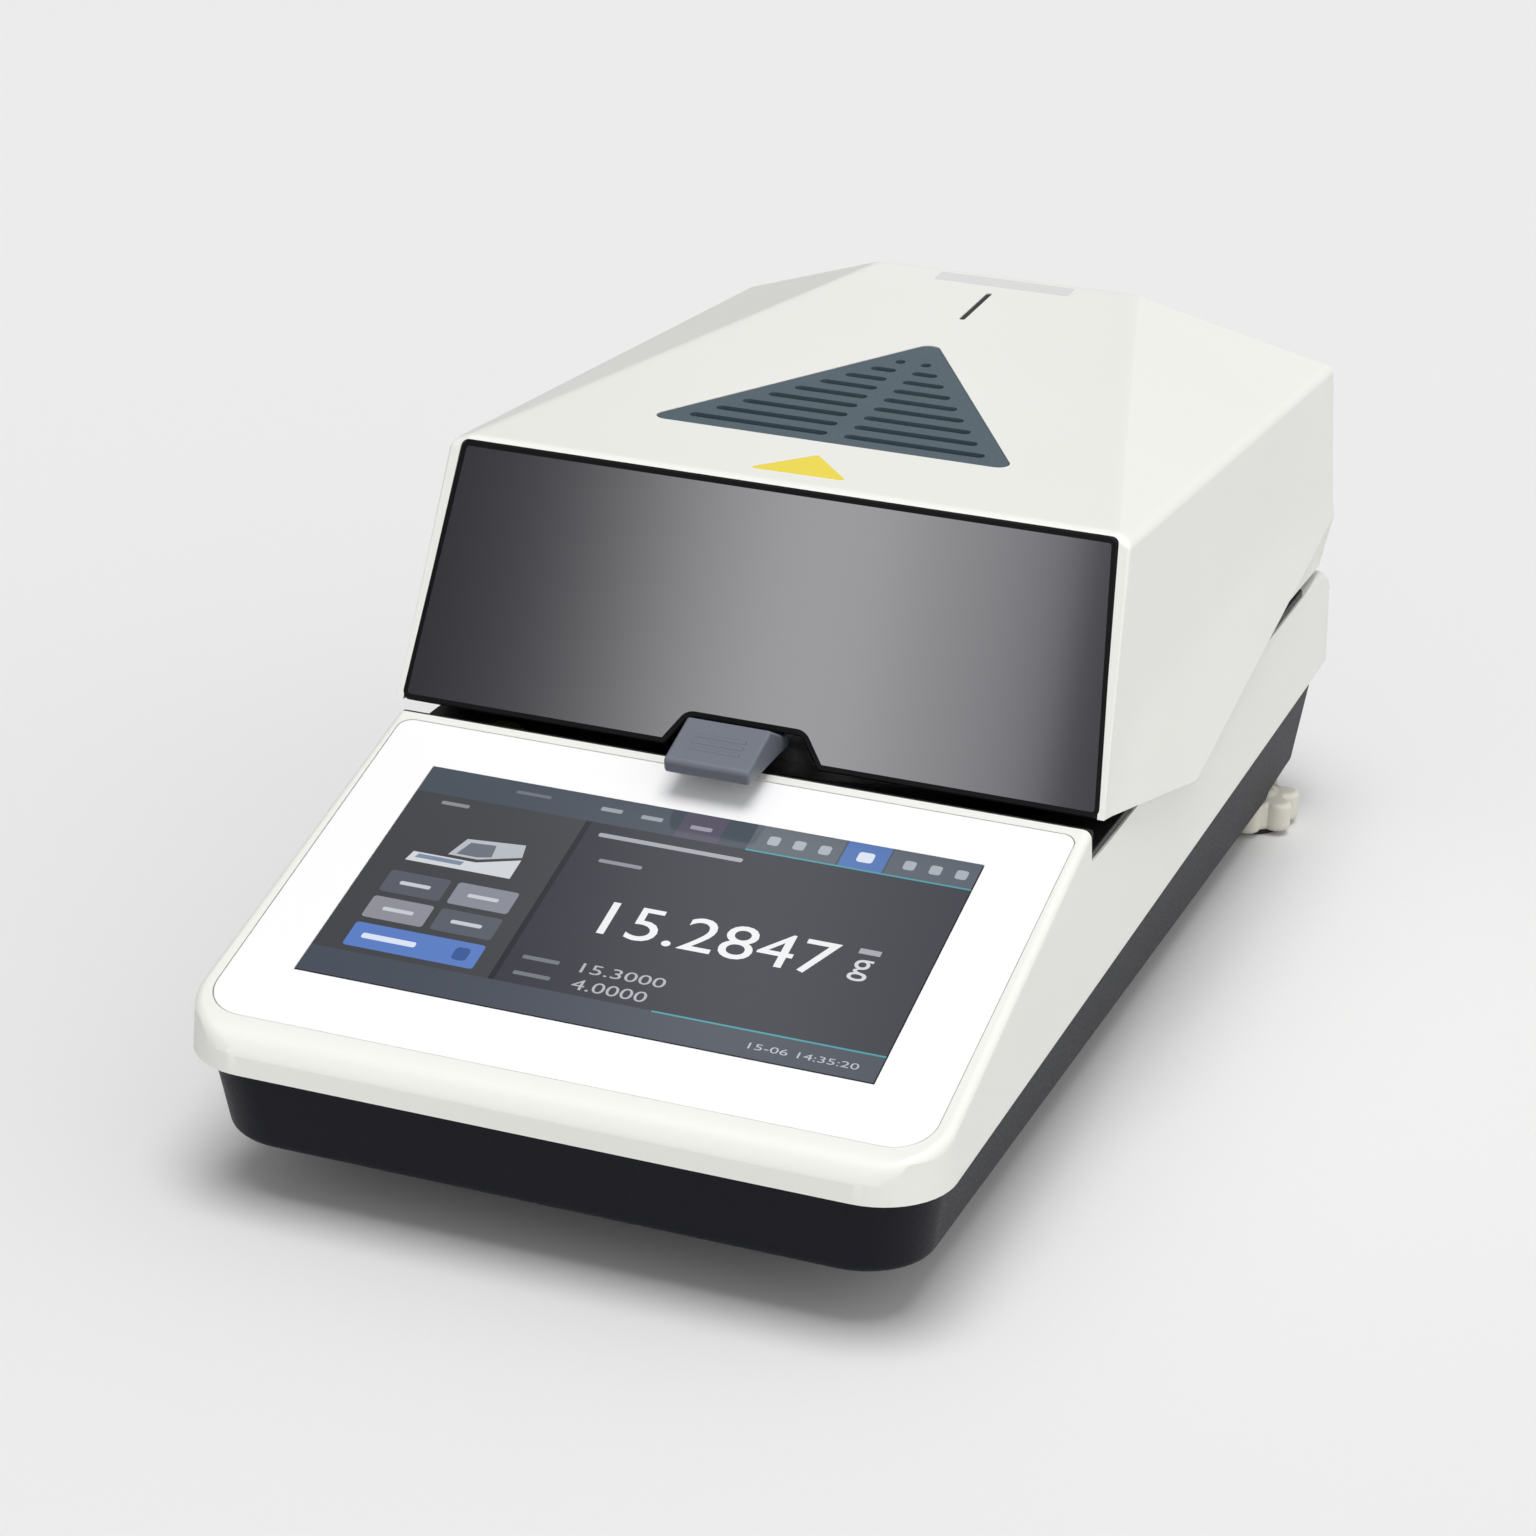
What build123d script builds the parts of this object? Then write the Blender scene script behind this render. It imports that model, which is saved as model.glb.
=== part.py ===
from build123d import *
import math
import os

# Halogen moisture analyzer: a low two-part housing with a sloping touch panel in front, a weighing
# chamber behind it, and a faceted heater lid hinged at the rear. Millimetres, +Z up, front along -Y.
# Depths are counted from the front face and heights from the table, and at() turns them into the
# part's own frame, whose origin is at the middle of the footprint on the table.

# Overall housing
body_length = 409.0
casing_half_width = 100.5
casing_draft = 2.6
casing_front_radius = 20.0
casing_rear_radius = 9.0
casing_wall = 2.8
seam_front_height = 41.6
seam_slope = 0.02
deck_height = 82.0
deck_start_depth = 131.0
nose_radius = 9.0
tail_radius = 20.0

# Sloping panel and the display in it
panel_tilt = 17.2
panel_mid_depth = 68.8
panel_mid_height = 72.5
panel_end_depth = 129.6
overlay_half_width = 95.5
overlay_up = 60.7
overlay_down = 63.0
overlay_front_radius = 11.0
overlay_rear_radius = 4.0
overlay_thick = 1.5
overlay_gap = 0.2
screen_width = 154.2
screen_height = 85.9
screen_offset = -1.3
screen_gap = 0.15
module_width = 164.9
module_height = 100.0
module_thick = 5.7
module_gap = 0.5
module_seat = 0.1
bracket_margin = 9.0
bracket_sheet = 1.2
bracket_post = 4.0
bracket_post_half_span = 35.0
bracket_frame_side = 20.0
bracket_frame_end = 18.0

# Lower tub
tub_top_half_width = 98.8
tub_low_half_width = 92.0
tub_front_top = 1.6
tub_front_low = 11.0
tub_rear_gap = 9.0
tub_front_radius = 19.0
tub_rear_radius = 9.0
tub_wall = 3.0
tub_floor = 2.6
tub_floor_height = 18.2
tub_floor_slope = -0.016
tail_step_length = 48.0
tail_step = 4.0
rib_half_span = 40.0
rib_thick = 2.5
rib_start_depth = 30.0
rib_top = 26.0

# Screws that hold the casing to the tub
front_column_half_span = 80.0
front_column_depth = 124.9
rear_column_half_span = 62.0
rear_column_gap = 43.0
column_radius = 5.0
screw_radius = 2.0
screw_head_radius = 3.6
screw_head_height = 2.4
screw_clearance = 0.2
screw_engage = 14.0

# Feet
front_foot_half_span = 68.0
front_foot_depth = 84.0
front_foot_radius = 10.0
rear_foot_half_span = 84.5
rear_foot_gap = 32.0
wheel_radius = 14.6
wheel_lobe_radius = 4.4
wheel_lobes = 7
wheel_low = 1.6
wheel_high = 11.0
stem_radius = 4.0
stem_top = 34.0
thread_clearance = 0.08
pad_radius = 11.0
pad_thick = 1.4
pad_hub_radius = 5.0
pad_hub_height = 2.2
insert_radius = 6.5
insert_length = 12.0
boss_wall = 2.6

# Chamber tray, heat shield, draft shield and pan
pan_depth = 238.0
plug_clearance = 0.05
tray_half_width = 95.4
tray_end_gap = 41.0
tray_sheet = 2.0
tray_lip = 8.6
tray_well_half_width = 84.0
tray_well_start = 146.0
tray_well_end_gap = 49.0
tray_well_drop = 9.0
tray_well_radius = 14.0
tray_gap = 0.3
shield_plate_radius = 70.0
shield_plate_thick = 1.0
stem_hole_radius = 7.0
draft_ring_radius = 59.0
draft_ring_wall = 1.4
draft_ring_height = 14.0
handler_inner_radius = 47.4
handler_outer_radius = 58.6
handler_thick = 1.5
handler_reach = 84.0
handler_half_width = 8.0
handler_grip = 12.0
pan_radius = 45.4
pan_rim_radius = 50.0
pan_sheet = 0.6
pan_wall_height = 6.0
pan_rim_gap = 1.4
support_arm_width = 5.0
support_arm_thick = 2.0
support_hub_radius = 6.0
load_stem_radius = 3.2
level_radius = 6.4
level_half_span = 72.0
level_depth = 139.8
level_height = 3.0

# Weighing cell and electronics inside the tub
cell_length = 120.0
cell_width = 34.0
cell_height = 22.0
cell_low = 32.0
cell_web = 5.0
cell_reach = 18.0
cell_free_length = 34.0
cell_clamp_length = 40.0
cell_plate_thick = 5.0
cell_plate_half_width = 32.0
cell_plate_gap = 1.5
cell_fixed_length = 30.0
cell_post_radius = 6.0
cell_post_half_span = 22.0
cell_post_front = 5.0
cell_post_rear = 85.0
board_thick = 1.6
board_half_width = 70.0
board_start_depth = 62.0
board_length = 120.0
board_chips = (  # x, depth, width, length, height
    (-40, 95, 28, 28, 4), (20, 100, 36, 22, 6), (45, 150, 20, 30, 12), (-30, 150, 44, 12, 9))
supply_length = 98.0
supply_width = 36.0
supply_height = 28.0
supply_side_gap = 51.0
supply_rear_gap = 79.0

# Rear connector panel
rear_panel_half_width = 74.0
rear_panel_low = 20.5
rear_panel_high = 46.5
rear_panel_thick = 2.0
rear_panel_edge = 4.0
connector_height = 33.5
inlet_x = 52.0
inlet_width = 27.6
inlet_height = 20.0
inlet_flange = 2.2
inlet_length = 22.0
inlet_hollow = 14.0
inlet_pins = ((-7.0, -2.0), (7.0, -2.0), (0.0, 2.0))
pin_half_width = 1.0
pin_half_height = 2.0
pin_setback = 4.0
switch_x = 20.0
switch_width = 21.0
switch_height = 15.0
switch_flange = 1.8
switch_length = 14.0
switch_hollow = 10.0
rocker_throw = 12.0
rocker_pin_radius = 1.2
rocker_pin_clearance = 0.05
rocker_axis_inset = 1.0
rocker_side_gap = 0.3
rocker_end_gap = 1.0
socket_wall = 2.0
usb_x = -12.0
usb_width = 12.0
usb_height = 10.9
usb_flange = 0.6
usb_length = 16.0
usb_hollow = 9.0
usb_tongue_half_width = 2.6
usb_tongue_half_height = 1.6
usb_tongue_length = 5.0
serial_x = -48.0
serial_width = 23.0
serial_height = 12.6
serial_flange = 1.0
serial_length = 12.0
serial_hollow = 6.0
serial_pin_radius = 0.5
serial_pin_length = 2.4
serial_pin_pitch = 2.76
serial_row_offset = 1.4
flange_width = 2.5
flange_height = 1.6
panel_fit = 0.1

# Faceted lid
lid_front_low_depth = 133.1
lid_front_low_height = 93.3
lid_front_low_half = 100.4
lid_front_top_depth = 157.2
lid_front_top_height = 162.7
lid_front_top_half = 91.8
lid_crease_half = 96.0
lid_back_gap = 53.6
lid_back_height = 173.2
lid_back_half = 40.9
lid_tail_gap = 19.6
lid_tail_height = 149.6
lid_tail_half = 96.6
lid_tail_low_gap = 15.1
lid_tail_low_height = 104.4
lid_tail_low_half = 99.4
lid_foot_gap = 22.3
lid_foot_height = 85.8
lid_flap_share = 0.318
lid_flap_height = 75.5
lid_flap_half = 104.5
lid_bend_shares = (0.134, 0.64)
lid_bend_heights = (111.5, 114.5)
lid_wall = 3.0
lid_skirt_half = 98.0
lid_skirt_top_height = 112.0
lid_skirt_low_height = 80.0
lid_skirt_front_gap = 60.0
lid_cut_margin = 5.0
lid_cut_low_height = 40.0
lid_slot_gap = 86.0
lid_slot_length = 28.0
lid_slot_width = 1.8

# Window, handle tab and vent grille on the lid
window_thick = 3.0
window_side_margin = 2.6
window_top_margin = 1.0
window_radius = 2.5
window_gap = 0.15
notch_top_half = 16.0
notch_low_half = 22.5
notch_rise = 8.3
ledge_width = 7.0
tab_half_width = 12.6
tab_tip_depth = 111.0
tab_tip_height = 98.4
tab_tip_thick = 4.2
tab_root_drop = 5.0
tab_bend_height = 99.0
tab_root_depth = 127.5
tab_root_height = 104.4
tab_low_height = 95.0
tab_radius = 1.6
grille_half_width = 53.0
grille_start_depth = 191.8
grille_end_depth = 285.2
grille_corner = 5.0
grille_thick = 2.4
grille_gap = 0.15
grille_slots = 9
grille_slot_width = 3.4
grille_slot_pitch = 8.1
grille_rib = 5.0
grille_margin = 7.5
grille_side_margin = 12.4
grille_shortest_slot = 3.0

# Heater inside the lid
lid_plate_low = 103.0
lid_plate_thick = 1.2
lid_plate_half_width = 92.0
lid_plate_start = 144.0
lid_plate_end_gap = 33.0
heater_hole_radius = 61.0
reflector_top_radius = 40.0
reflector_rise = 34.0
reflector_sheet = 0.8
reflector_flange = 7.0
lamp_ring_radius = 42.0
lamp_tube_radius = 5.0
lamp_drop = 18.0
lamp_leg_half_span = 12.0
lamp_gap_start = 10.0
lamp_gap_end = 80.0
lamp_cap_wall = 0.8
holder_size = 15.0
holder_height = 14.0
glass_radius = 64.0
glass_thick = 3.0
retainer_inner_radius = 59.6
retainer_outer_radius = 68.0
retainer_thick = 2.4
sensor_radius = 2.0
sensor_offset = 78.0
sensor_length = 12.0

# Rear hinge: a barrel, an arm and an outer ear on each side, all on one axis
hinge_gap = 25.0
hinge_height = 89.0
hinge_shaft_radius = 3.0
hinge_clearance = 0.06
barrel_radius = 8.0
barrel_inner = 28.0
barrel_outer = 72.0
barrel_bore = 16.0
saddle_inset = 4.0
saddle_half_depth = 7.0
shaft_length = 14.0
cap_radius = 5.5
cap_thick = 1.5
arm_inner = 73.0
arm_outer = 77.5
arm_reach = 44.0
arm_foot_width = 9.0
arm_foot_thick = 1.6
ear_inner = 79.0
ear_outer = 85.0
knuckle_radius = 6.0
pocket_inner = 25.0
pocket_outer = 88.5
pocket_front = 12.0
pocket_rear = 12.5
pocket_floor_drop = 13.0
lid_relief_height = 99.0


def at(x, depth, height):
    """Point in the part's frame from its depth behind the front face and height over the table."""
    return Vector(x, depth - body_length / 2, height)


def prism(points, half_width, middle=0.0):
    """Side outline of (depth, height) corners, extruded evenly to both sides."""
    face = make_face(Polyline(*[at(middle, d, h) for d, h in points], close=True))
    return extrude(face, amount=half_width, dir=(1, 0, 0), both=True)


def outline(half_width, front, rear, front_radius, rear_radius, height):
    """Plan outline with its own corner radii at the front and at the rear."""
    middle = (front + rear) / 2
    face = Plane(at(0, middle, height)) * Rectangle(2 * half_width, rear - front)
    corners = face.vertices().sort_by(Axis.Y)
    face = fillet(corners[:2], front_radius)
    return fillet(face.vertices().sort_by(Axis.Y)[-2:], rear_radius)


def block(x0, x1, depth0, depth1, height0, height1):
    """Box between two corners."""
    centre = (at(x0, depth0, height0) + at(x1, depth1, height1)) / 2
    return Pos(*centre) * Box(abs(x1 - x0), abs(depth1 - depth0), abs(height1 - height0))


def rod(x, depth, low, high, radius):
    """Upright cylinder."""
    return Pos(*at(x, depth, (low + high) / 2)) * Cylinder(radius, high - low)


def axle(x0, x1, depth, height, radius):
    """Cylinder across the part."""
    place = Pos(*at((x0 + x1) / 2, depth, height))
    return place * Rot(0, 90, 0) * Cylinder(radius, abs(x1 - x0))


def turned(profile, depth=pan_depth):
    """Solid of revolution about the upright axis of the pan, from (radius, height) corners."""
    middle = at(0, depth, 0)
    face = make_face(Polyline(*[middle + Vector(r, 0, h) for r, h in profile], close=True))
    return revolve(face, axis=Axis(middle, (0, 0, 1)))


def hull(points):
    return ConvexPolyhedron([at(*p) for p in points])


# Heights and places worked out from the sizes above
tub_rear_depth = body_length - tub_rear_gap
tail_step_depth = body_length - tail_step_length
rear_foot_depth = body_length - rear_foot_gap
column_places = ((front_column_half_span, front_column_depth),
                 (rear_column_half_span, body_length - rear_column_gap))
tray_end_depth = body_length - tray_end_gap
tray_well_end = body_length - tray_well_end_gap
lid_back_depth = body_length - lid_back_gap
lid_tail_depth = body_length - lid_tail_gap
lid_tail_low_depth = body_length - lid_tail_low_gap
lid_foot_depth = body_length - lid_foot_gap
lid_length = lid_tail_low_depth - lid_front_low_depth
lid_flap_depth = lid_front_low_depth + lid_flap_share * lid_length
lid_bend_depths = [lid_front_low_depth + share * lid_length for share in lid_bend_shares]
lid_slot_depth = body_length - lid_slot_gap
lid_plate_end = body_length - lid_plate_end_gap
hinge_depth = body_length - hinge_gap
supply_start_depth = body_length - supply_rear_gap - supply_length
pocket_floor_height = hinge_height - pocket_floor_drop
pocket_start = hinge_depth - pocket_front
pocket_end = hinge_depth + pocket_rear
tilt = math.radians(panel_tilt)
panel = Plane(at(0, panel_mid_depth, panel_mid_height), x_dir=(1, 0, 0),
              z_dir=(0, -math.sin(tilt), math.cos(tilt)))
tray_top = deck_height + tray_sheet
well_floor = tray_top - tray_well_drop
shield_top = well_floor + shield_plate_thick
ring_top = shield_top + draft_ring_height
handler_top = ring_top + handler_thick
pan_rim = handler_top + pan_rim_gap
pan_bottom = pan_rim + pan_sheet - pan_wall_height
glass_low = lid_plate_low - glass_thick
retainer_low = glass_low - retainer_thick
reflector_low = lid_plate_low + lid_plate_thick
reflector_top = reflector_low + reflector_rise
lamp_height = reflector_top - lamp_drop


def panel_height(depth, sink=0.0):
    """Height of the sloping panel, sunk square to its surface."""
    return panel_mid_height + (depth - panel_mid_depth) * math.tan(tilt) - sink / math.cos(tilt)


def seam_height(depth):
    return seam_front_height + seam_slope * depth


def floor_height(depth):
    """Underside of the tub, which is stepped up round the rear feet."""
    lift = tail_step if depth > tail_step_depth else 0.0
    return tub_floor_height + tub_floor_slope * depth + lift


def casing_block(inset):
    """Upper casing as a solid, shrunk by a wall when the hollow inside it is needed."""
    front, rear = inset, body_length - inset
    drop = 6.0 if inset else 0.0
    corners = [
        (front, seam_height(0) - drop),
        (front, panel_height(front, inset)),
        (panel_end_depth - inset, panel_height(panel_end_depth - inset, inset)),
        (deck_start_depth - inset, deck_height - inset),
        (rear, deck_height - inset),
        (rear, seam_height(body_length) - drop),
    ]
    face = make_face(Polyline(*[at(0, d, h) for d, h in corners], close=True))
    nose = face.vertices().sort_by_distance(at(0, *corners[1]))[0]
    face = fillet(nose, nose_radius - inset)
    tail = face.vertices().sort_by_distance(at(0, *corners[4]))[0]
    face = fillet(tail, tail_radius - inset)
    body = extrude(face, amount=casing_half_width + 1, dir=(1, 0, 0), both=True)
    lean = (seam_height(body_length) - seam_height(0)) * math.tan(math.radians(casing_draft))
    base = outline(casing_half_width - inset, front, rear + lean, casing_front_radius - inset,
                   casing_rear_radius - inset, seam_height(0) - drop)
    walls = extrude(base, amount=panel_height(panel_end_depth) - seam_front_height + 12,
                    taper=casing_draft)
    return body & walls


def upper_casing():
    """White upper shell with the display recess, the chamber opening and the hinge pockets."""
    shell = casing_block(0) - casing_block(casing_wall)
    recess = overlay_shape(overlay_thick + 0.05, overlay_gap)
    seat = panel * Pos(screen_offset, 0, -5) * Box(module_width + 2 * module_gap,
                                                   module_height + 2 * module_gap, 16)
    shell -= recess + seat
    shell -= block(-tray_well_half_width - tray_gap, tray_well_half_width + tray_gap,
                   tray_well_start - tray_gap, tray_well_end + tray_gap,
                   deck_height - 8, deck_height + 8)
    for pocket in (hinge_pocket(1, 0), hinge_pocket(-1, 0)):
        shell -= pocket
    for side in (1, -1):
        shell += hinge_pocket(side, casing_wall) - hinge_pocket(side, 0)
        for span, depth in column_places:
            if depth < deck_start_depth:
                top = panel_height(depth - column_radius, overlay_thick + 4 * overlay_gap)
            else:
                top = deck_height - casing_wall / 2
            x = side * span
            shell += rod(x, depth, seam_height(depth), top, column_radius)
            shell -= rod(x, depth, seam_height(depth) - 1, seam_height(depth) + screw_engage,
                         screw_radius + screw_clearance)
    return shell


def hinge_pocket(side, grow):
    """Pocket in the deck for one hinge, or the same grown by a wall to make its walls."""
    return block(side * (pocket_inner - grow), side * (pocket_outer + grow), pocket_start - grow,
                 pocket_end + grow, pocket_floor_height - grow, deck_height + (0 if grow else 4))


def overlay_shape(thick, grow):
    """Front glass outline on the sloping panel, down into it by its thickness."""
    width = 2 * (overlay_half_width + grow)
    height = overlay_up + overlay_down + 2 * grow
    face = Pos(0, (overlay_up - overlay_down) / 2) * Rectangle(width, height)
    face = fillet(face.vertices().sort_by(Axis.Y)[:2], overlay_front_radius)
    face = fillet(face.vertices().sort_by(Axis.Y)[-2:], overlay_rear_radius)
    return extrude(panel * face, amount=-thick)


def display_overlay():
    opening = panel * Pos(screen_offset, 0, 0) * Box(screen_width + 2 * screen_gap,
                                                     screen_height + 2 * screen_gap, 8)
    return overlay_shape(overlay_thick, 0) - opening


def display_screen():
    """Touch screen: its glass fills the overlay's opening and the module lies behind."""
    glass = Box(screen_width, screen_height, overlay_thick + 4 * module_seat,
                align=(Align.CENTER, Align.CENTER, Align.MAX))
    module = Pos(0, 0, -overlay_thick - module_seat) * Box(module_width, module_height, module_thick,
                                                   align=(Align.CENTER, Align.CENTER, Align.MAX))
    return panel * Pos(screen_offset, 0, 0) * (glass + module)


def display_bracket():
    """Folded sheet frame that holds the display module from behind."""
    back = -overlay_thick - module_seat - module_thick
    sheet = Pos(0, 0, back) * Box(module_width + 2 * bracket_margin, module_height, bracket_sheet,
                                  align=(Align.CENTER, Align.CENTER, Align.MAX))
    sheet -= Pos(0, 0, back) * Box(module_width - 2 * bracket_frame_side,
                                   module_height - 2 * bracket_frame_end, 8)
    for side in (1, -1):
        x = side * (module_width / 2 + bracket_margin / 2 + module_gap)
        for s in (-bracket_post_half_span, bracket_post_half_span):
            sheet += Pos(x, s, back) * Cylinder(bracket_post, back * -1 - casing_wall - 0.3,
                                                align=(Align.CENTER, Align.CENTER, Align.MIN))
    return panel * Pos(screen_offset, 0, 0) * sheet


def tub_block(inset):
    """Lower tub as a solid, wider at the seam than at the floor."""
    low = 6.0
    high = seam_height(tub_rear_depth) + 4
    top = outline(tub_top_half_width - inset, tub_front_top + inset, tub_rear_depth - inset,
                  tub_front_radius - inset, tub_rear_radius - inset, high)
    bottom = outline(tub_low_half_width - inset, tub_front_low + inset, tub_rear_depth - inset,
                     tub_front_radius - inset, tub_rear_radius - inset, low)
    body = loft([bottom, top])
    lift = tub_floor if inset else 0.0
    extra = 5.0 if inset else 0.0
    side = [
        (-5, floor_height(-5) + lift),
        (tail_step_depth, floor_height(tail_step_depth) + lift),
        (tail_step_depth + 3, floor_height(tail_step_depth + 3) + lift),
        (body_length, floor_height(body_length) + lift),
        (body_length, seam_height(body_length) + extra),
        (-5, seam_height(-5) + extra),
    ]
    return body & prism(side, casing_half_width)


def base_tub():
    """Dark lower tub with its screw columns, foot bosses, ribs and connector opening."""
    hollow = tub_block(tub_wall)
    tub = tub_block(0) - hollow
    inside = []
    for side in (1, -1):
        for span, depth in column_places:
            x = side * span
            inside.append(rod(x, depth, floor_height(depth), seam_height(depth), column_radius))
        inside.append(rod(side * rear_foot_half_span, rear_foot_depth,
                          floor_height(rear_foot_depth), stem_top + 2, insert_radius + boss_wall))
        inside.append(block(side * rib_half_span, side * (rib_half_span + rib_thick),
                            rib_start_depth, tail_step_depth - column_radius, 0, rib_top))
    for x, depth in cell_posts():
        inside.append(rod(x, depth, floor_height(depth), cell_low - cell_plate_thick,
                          cell_post_radius))
    limit = tub_block(0.5)
    for piece in inside:
        tub += piece & limit
    for side in (1, -1):
        for span, depth in column_places:
            x = side * span
            low = floor_height(depth)
            tub -= rod(x, depth, low - 4, seam_height(depth) + 1, screw_radius + screw_clearance)
            tub -= rod(x, depth, low - 4, low + screw_head_height + 1,
                       screw_head_radius + screw_clearance)
        foot = floor_height(rear_foot_depth)
        x = side * rear_foot_half_span
        tub -= rod(x, rear_foot_depth, foot - 4, foot + insert_length, insert_radius)
        tub -= rod(x, rear_foot_depth, foot, stem_top + 1, stem_radius + 1)
    half = rear_panel_half_width - rear_panel_edge
    tub -= block(-rear_panel_half_width - 0.1, rear_panel_half_width + 0.1,
                 tub_rear_depth - rear_panel_thick, tub_rear_depth + 2,
                 rear_panel_low - 0.1, rear_panel_high + 0.1)
    tub -= block(-half, half, tub_rear_depth - tub_wall - 1, tub_rear_depth,
                 rear_panel_low + 1.5, rear_panel_high - 1.5)
    return tub


def cell_posts():
    """Four posts on the tub floor under the plate of the weighing cell."""
    return [(x, depth) for x in (-cell_post_half_span, cell_post_half_span)
            for depth in (pan_depth - cell_post_front, pan_depth + cell_post_rear)]


def casing_screws():
    screws = []
    for side in (1, -1):
        for span, depth in column_places:
            x = side * span
            low = floor_height(depth) + 1
            top = seam_height(depth) + screw_engage - 1
            screws.append(rod(x, depth, low, low + screw_head_height, screw_head_radius)
                          + rod(x, depth, low, top, screw_radius))
    return screws


def front_feet():
    feet = []
    for side in (1, -1):
        x = side * front_foot_half_span
        top = tub_floor_height + tub_floor_slope * (front_foot_depth + front_foot_radius)
        foot = rod(x, front_foot_depth, 0, top, front_foot_radius)
        foot = chamfer(foot.edges().group_by(Axis.Z)[0], 2.0)
        feet.append(foot)
    return feet


def foot_insert(side):
    """Threaded brass insert in the tub boss."""
    low = floor_height(rear_foot_depth)
    x = side * rear_foot_half_span
    nut = rod(x, rear_foot_depth, low, low + insert_length, insert_radius)
    return nut - rod(x, rear_foot_depth, low - 1, low + insert_length + 1,
                     stem_radius + thread_clearance)


def levelling_wheel(side):
    """Lobed hand wheel with its threaded stem."""
    x = side * rear_foot_half_span
    wheel = rod(x, rear_foot_depth, wheel_low, wheel_high, wheel_radius - wheel_lobe_radius / 2)
    for turn in range(wheel_lobes):
        angle = 2 * math.pi * (turn + 0.5) / wheel_lobes
        reach = wheel_radius - wheel_lobe_radius + 1.6
        wheel += rod(x + reach * math.cos(angle), rear_foot_depth + reach * math.sin(angle),
                     wheel_low, wheel_high, wheel_lobe_radius)
    cap = Pos(*at(x, rear_foot_depth, wheel_high + 1)) * Cone(wheel_radius - 5, stem_radius + 2, 2)
    wheel += cap + rod(x, rear_foot_depth, wheel_high - 1, stem_top, stem_radius)
    return wheel - rod(x, rear_foot_depth, 0, pad_hub_height + pad_thick + 0.3,
                       pad_hub_radius + 0.1)


def foot_pad(side):
    x = side * rear_foot_half_span
    return (rod(x, rear_foot_depth, 0, pad_thick, pad_radius)
            + rod(x, rear_foot_depth, 0, pad_thick + pad_hub_height, pad_hub_radius))


def chamber_tray():
    """Black chamber tray: a flange on the deck, a front lip and a shallow round-cornered well."""
    flange = extrude(outline(tray_half_width, deck_start_depth + 0.6, tray_end_depth, 2.0, 3.0,
                             deck_height), amount=tray_sheet)
    lip = block(-tray_half_width, tray_half_width, deck_start_depth + 0.6,
                deck_start_depth + 0.6 + tray_sheet * 0.7, deck_height, deck_height + tray_lip)
    well = extrude(outline(tray_well_half_width, tray_well_start, tray_well_end,
                           tray_well_radius, tray_well_radius, well_floor - tray_sheet),
                   amount=tray_well_drop + tray_sheet)
    inner = extrude(outline(tray_well_half_width - tray_sheet, tray_well_start + tray_sheet,
                            tray_well_end - tray_sheet, tray_well_radius - tray_sheet,
                            tray_well_radius - tray_sheet, well_floor),
                    amount=tray_well_drop + 5)
    tray = flange + lip + well - inner
    tray -= rod(0, pan_depth, well_floor - 5, well_floor + 5, stem_hole_radius)
    for side in (1, -1):
        tray -= rod(side * level_half_span, level_depth, deck_height + 0.4, deck_height + 5,
                    level_radius + 0.1)
    return tray


def level_vial():
    """Round spirit level seated in the tray's front corner."""
    vial = rod(-level_half_span, level_depth, deck_height + 0.4, tray_top + level_height,
               level_radius)
    return chamfer(vial.edges().group_by(Axis.Z)[-1], 0.8)


def heat_shield():
    plate = rod(0, pan_depth, well_floor, shield_top, shield_plate_radius)
    return plate - rod(0, pan_depth, well_floor - 1, shield_top + 1, stem_hole_radius)


def draft_shield():
    """Thin ring round the pan, which the handler rests on."""
    return (rod(0, pan_depth, shield_top, ring_top, draft_ring_radius)
            - rod(0, pan_depth, shield_top - 1, ring_top + 1, draft_ring_radius - draft_ring_wall))


def pan_handler():
    """Flat lifting ring under the pan's rim, with a strip and a turned-up grip to the front."""
    ring = (rod(0, pan_depth, ring_top, handler_top, handler_outer_radius)
            - rod(0, pan_depth, ring_top - 1, handler_top + 1, handler_inner_radius))
    front = pan_depth - handler_reach
    strip = block(-handler_half_width, handler_half_width, front,
                  pan_depth - (handler_inner_radius + handler_outer_radius) / 2, ring_top,
                  handler_top)
    grip = block(-handler_grip, handler_grip, front, front + 9, ring_top, handler_top)
    lip = block(-handler_grip, handler_grip, front, front + handler_thick, ring_top,
                handler_top + 4)
    return ring + strip + grip + lip


def sample_pan():
    """Shallow pressed dish with a flat rim."""
    low, top, t = pan_bottom, pan_rim + pan_sheet, pan_sheet
    return turned([
        (0, low), (pan_radius - 1.5, low), (pan_radius, low + 1.5), (pan_radius, pan_rim),
        (pan_rim_radius, pan_rim), (pan_rim_radius, top), (pan_radius - t, top),
        (pan_radius - t, low + 1.5 + t / 2), (pan_radius - 1.5 - t / 2, low + t), (0, low + t),
    ])


def pan_support():
    """Cross under the pan, plugged on the load stem."""
    low = pan_bottom - support_arm_thick
    reach = pan_radius - 6
    cross = rod(0, pan_depth, low - 4, pan_bottom, support_hub_radius)
    for angle in (0, 60, 120):
        bar = Box(2 * reach, support_arm_width, support_arm_thick)
        cross += Pos(*at(0, pan_depth, low + support_arm_thick / 2)) * Rot(0, 0, angle) * bar
    return cross - rod(0, pan_depth, low - 5, pan_bottom - 1, load_stem_radius + plug_clearance)


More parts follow.
